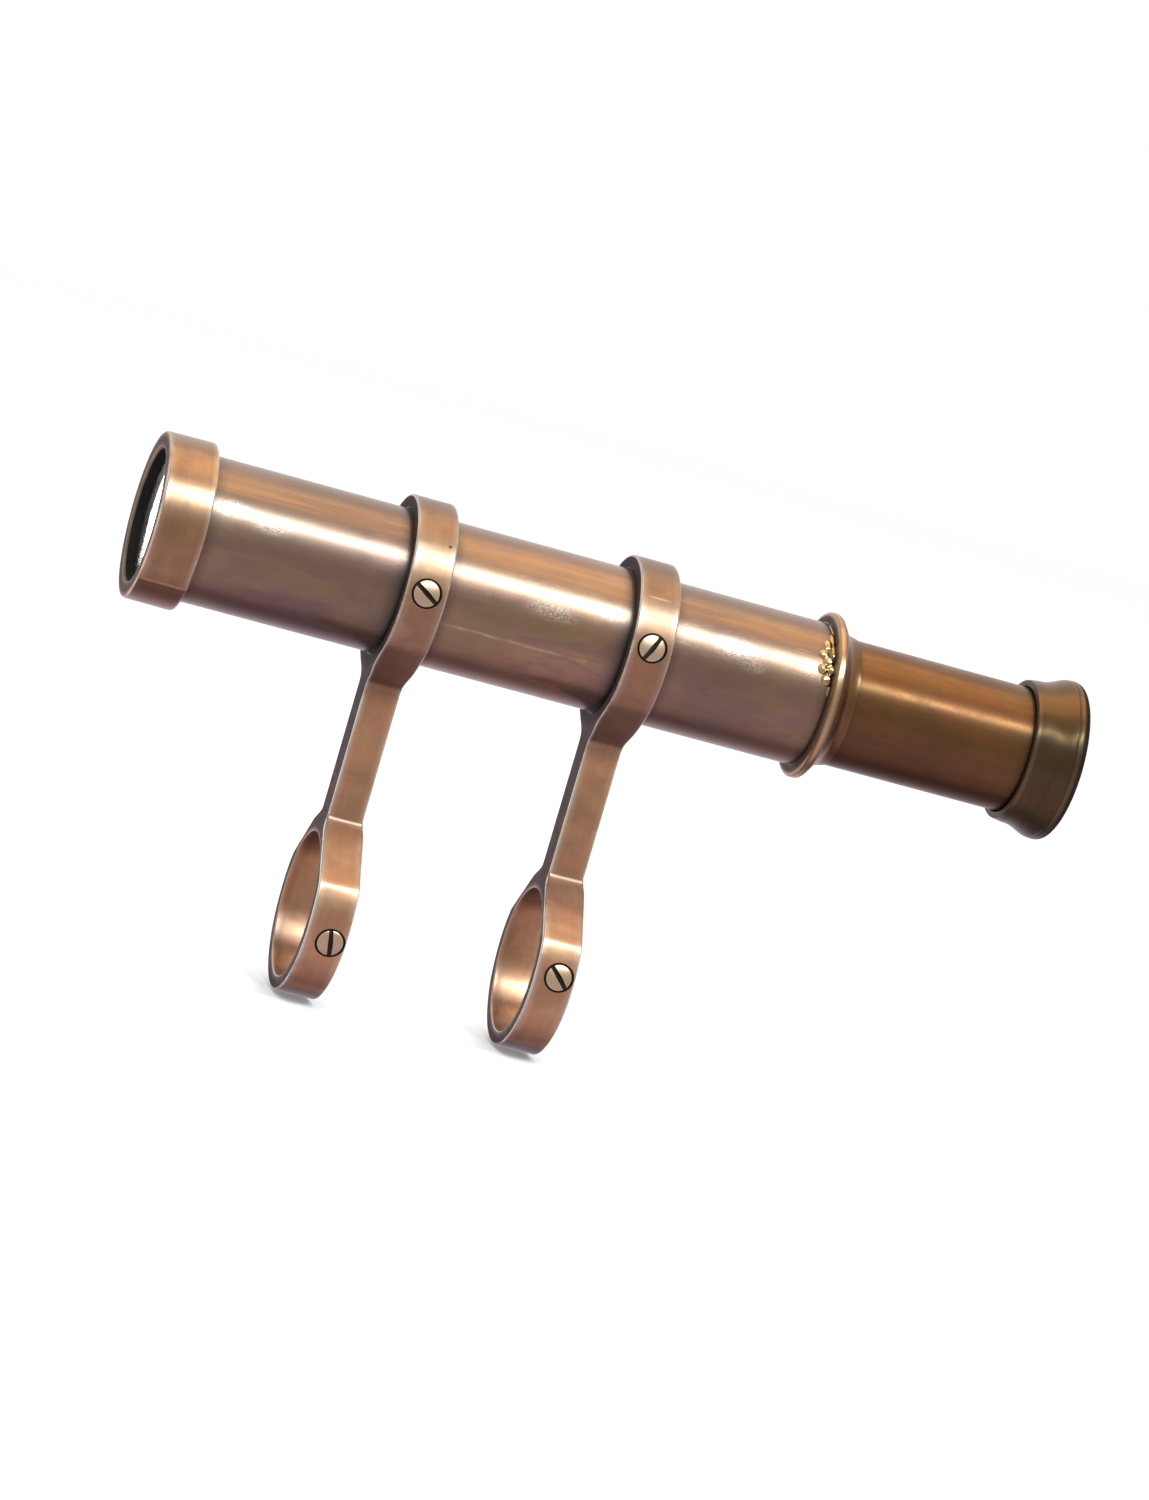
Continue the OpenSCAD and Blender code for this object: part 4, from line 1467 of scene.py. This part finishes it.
def strip(name, elevation, height, power, color):
    """A long card above the camera side, at an elevation in degrees."""
    a = math.radians(elevation)
    where = FINDER_MIDDLE + Vector((0.16, -math.cos(a), math.sin(a)))
    return card(name, where, FINDER_MIDDLE, width=1.25, height=height, power=power,
                color=color)


def light_only(name, lights, objects):
    """Limit lights to the given objects."""
    receivers = bpy.data.collections.new(name)
    for ob in objects:
        receivers.objects.link(ob)
    for light in lights:
        light.light_linking.receiver_collection = receivers


def build_lights():
    key = strip("key_softbox", elevation=48, height=0.27, power=9.0, color=(0.76, 0.90, 1.0))
    tail = strip("key_tail", elevation=36, height=0.26, power=0.42, color=(0.92, 0.96, 1.0))
    eye_key = strip("key_eye_end", elevation=45, height=0.14, power=2.6,
                    color=(0.86, 0.94, 1.0))
    card("top_fill", FINDER_MIDDLE + Vector((0.0, 0.15, 1.3)), FINDER_MIDDLE,
         width=1.2, height=1.0, power=2.3, color=(1.0, 0.80, 0.57))
    back = card("lens_card", LENS_MIDDLE + Vector((-0.36, 0.93, -0.05)) * 0.9, LENS_MIDDLE,
                width=0.5, height=0.7, power=6.0)
    eye_end = ("draw_tube_shell", "eyecup_shell")
    light_only("lens_only", [back], [frame["nodes"][n] for n in ("crown_lens", "flint_lens")])
    light_only("eye_end_only", [eye_key], [bpy.data.objects[n] for n in eye_end])
    light_only("main_key_receivers", [key, tail],
               [ob for ob in bpy.data.objects if ob.type == "MESH" and ob.name not in eye_end])


# ---------------------------------------------------------------- camera
CAMERA_AZIMUTH = math.radians(-14.3)
CAMERA_ELEVATION = math.radians(6.0)
CAMERA_ROLL = math.radians(16.4)
CAMERA_TARGET = Vector((0.0515, 0, 0.054))
CAMERA_DISTANCE = 1.40
VIEW_WIDTH = 0.3694517      # width seen at the target
SENSOR_WIDTH = 36           # mm


def build_camera():
    flat = math.cos(CAMERA_ELEVATION)
    towards = Vector((math.sin(CAMERA_AZIMUTH) * flat, -math.cos(CAMERA_AZIMUTH) * flat,
                      math.sin(CAMERA_ELEVATION)))
    forward = -towards
    right = forward.cross(Vector((0, 0, 1))).normalized()
    up = right.cross(forward)
    rolled_right = math.cos(CAMERA_ROLL) * right + math.sin(CAMERA_ROLL) * up
    rolled_up = -math.sin(CAMERA_ROLL) * right + math.cos(CAMERA_ROLL) * up
    data = bpy.data.cameras.new("camera")
    camera = bpy.data.objects.new("camera", data)
    scene.collection.objects.link(camera)
    camera.location = CAMERA_TARGET + towards * CAMERA_DISTANCE
    camera.rotation_mode = "QUATERNION"
    axes = Matrix((rolled_right, rolled_up, towards)).transposed()
    camera.rotation_quaternion = axes.to_quaternion()
    data.sensor_width = SENSOR_WIDTH
    data.lens = SENSOR_WIDTH * CAMERA_DISTANCE / VIEW_WIDTH
    data.clip_start = 0.05
    data.clip_end = 50
    scene.camera = camera


build_floor()
build_world()
build_lights()
build_camera()
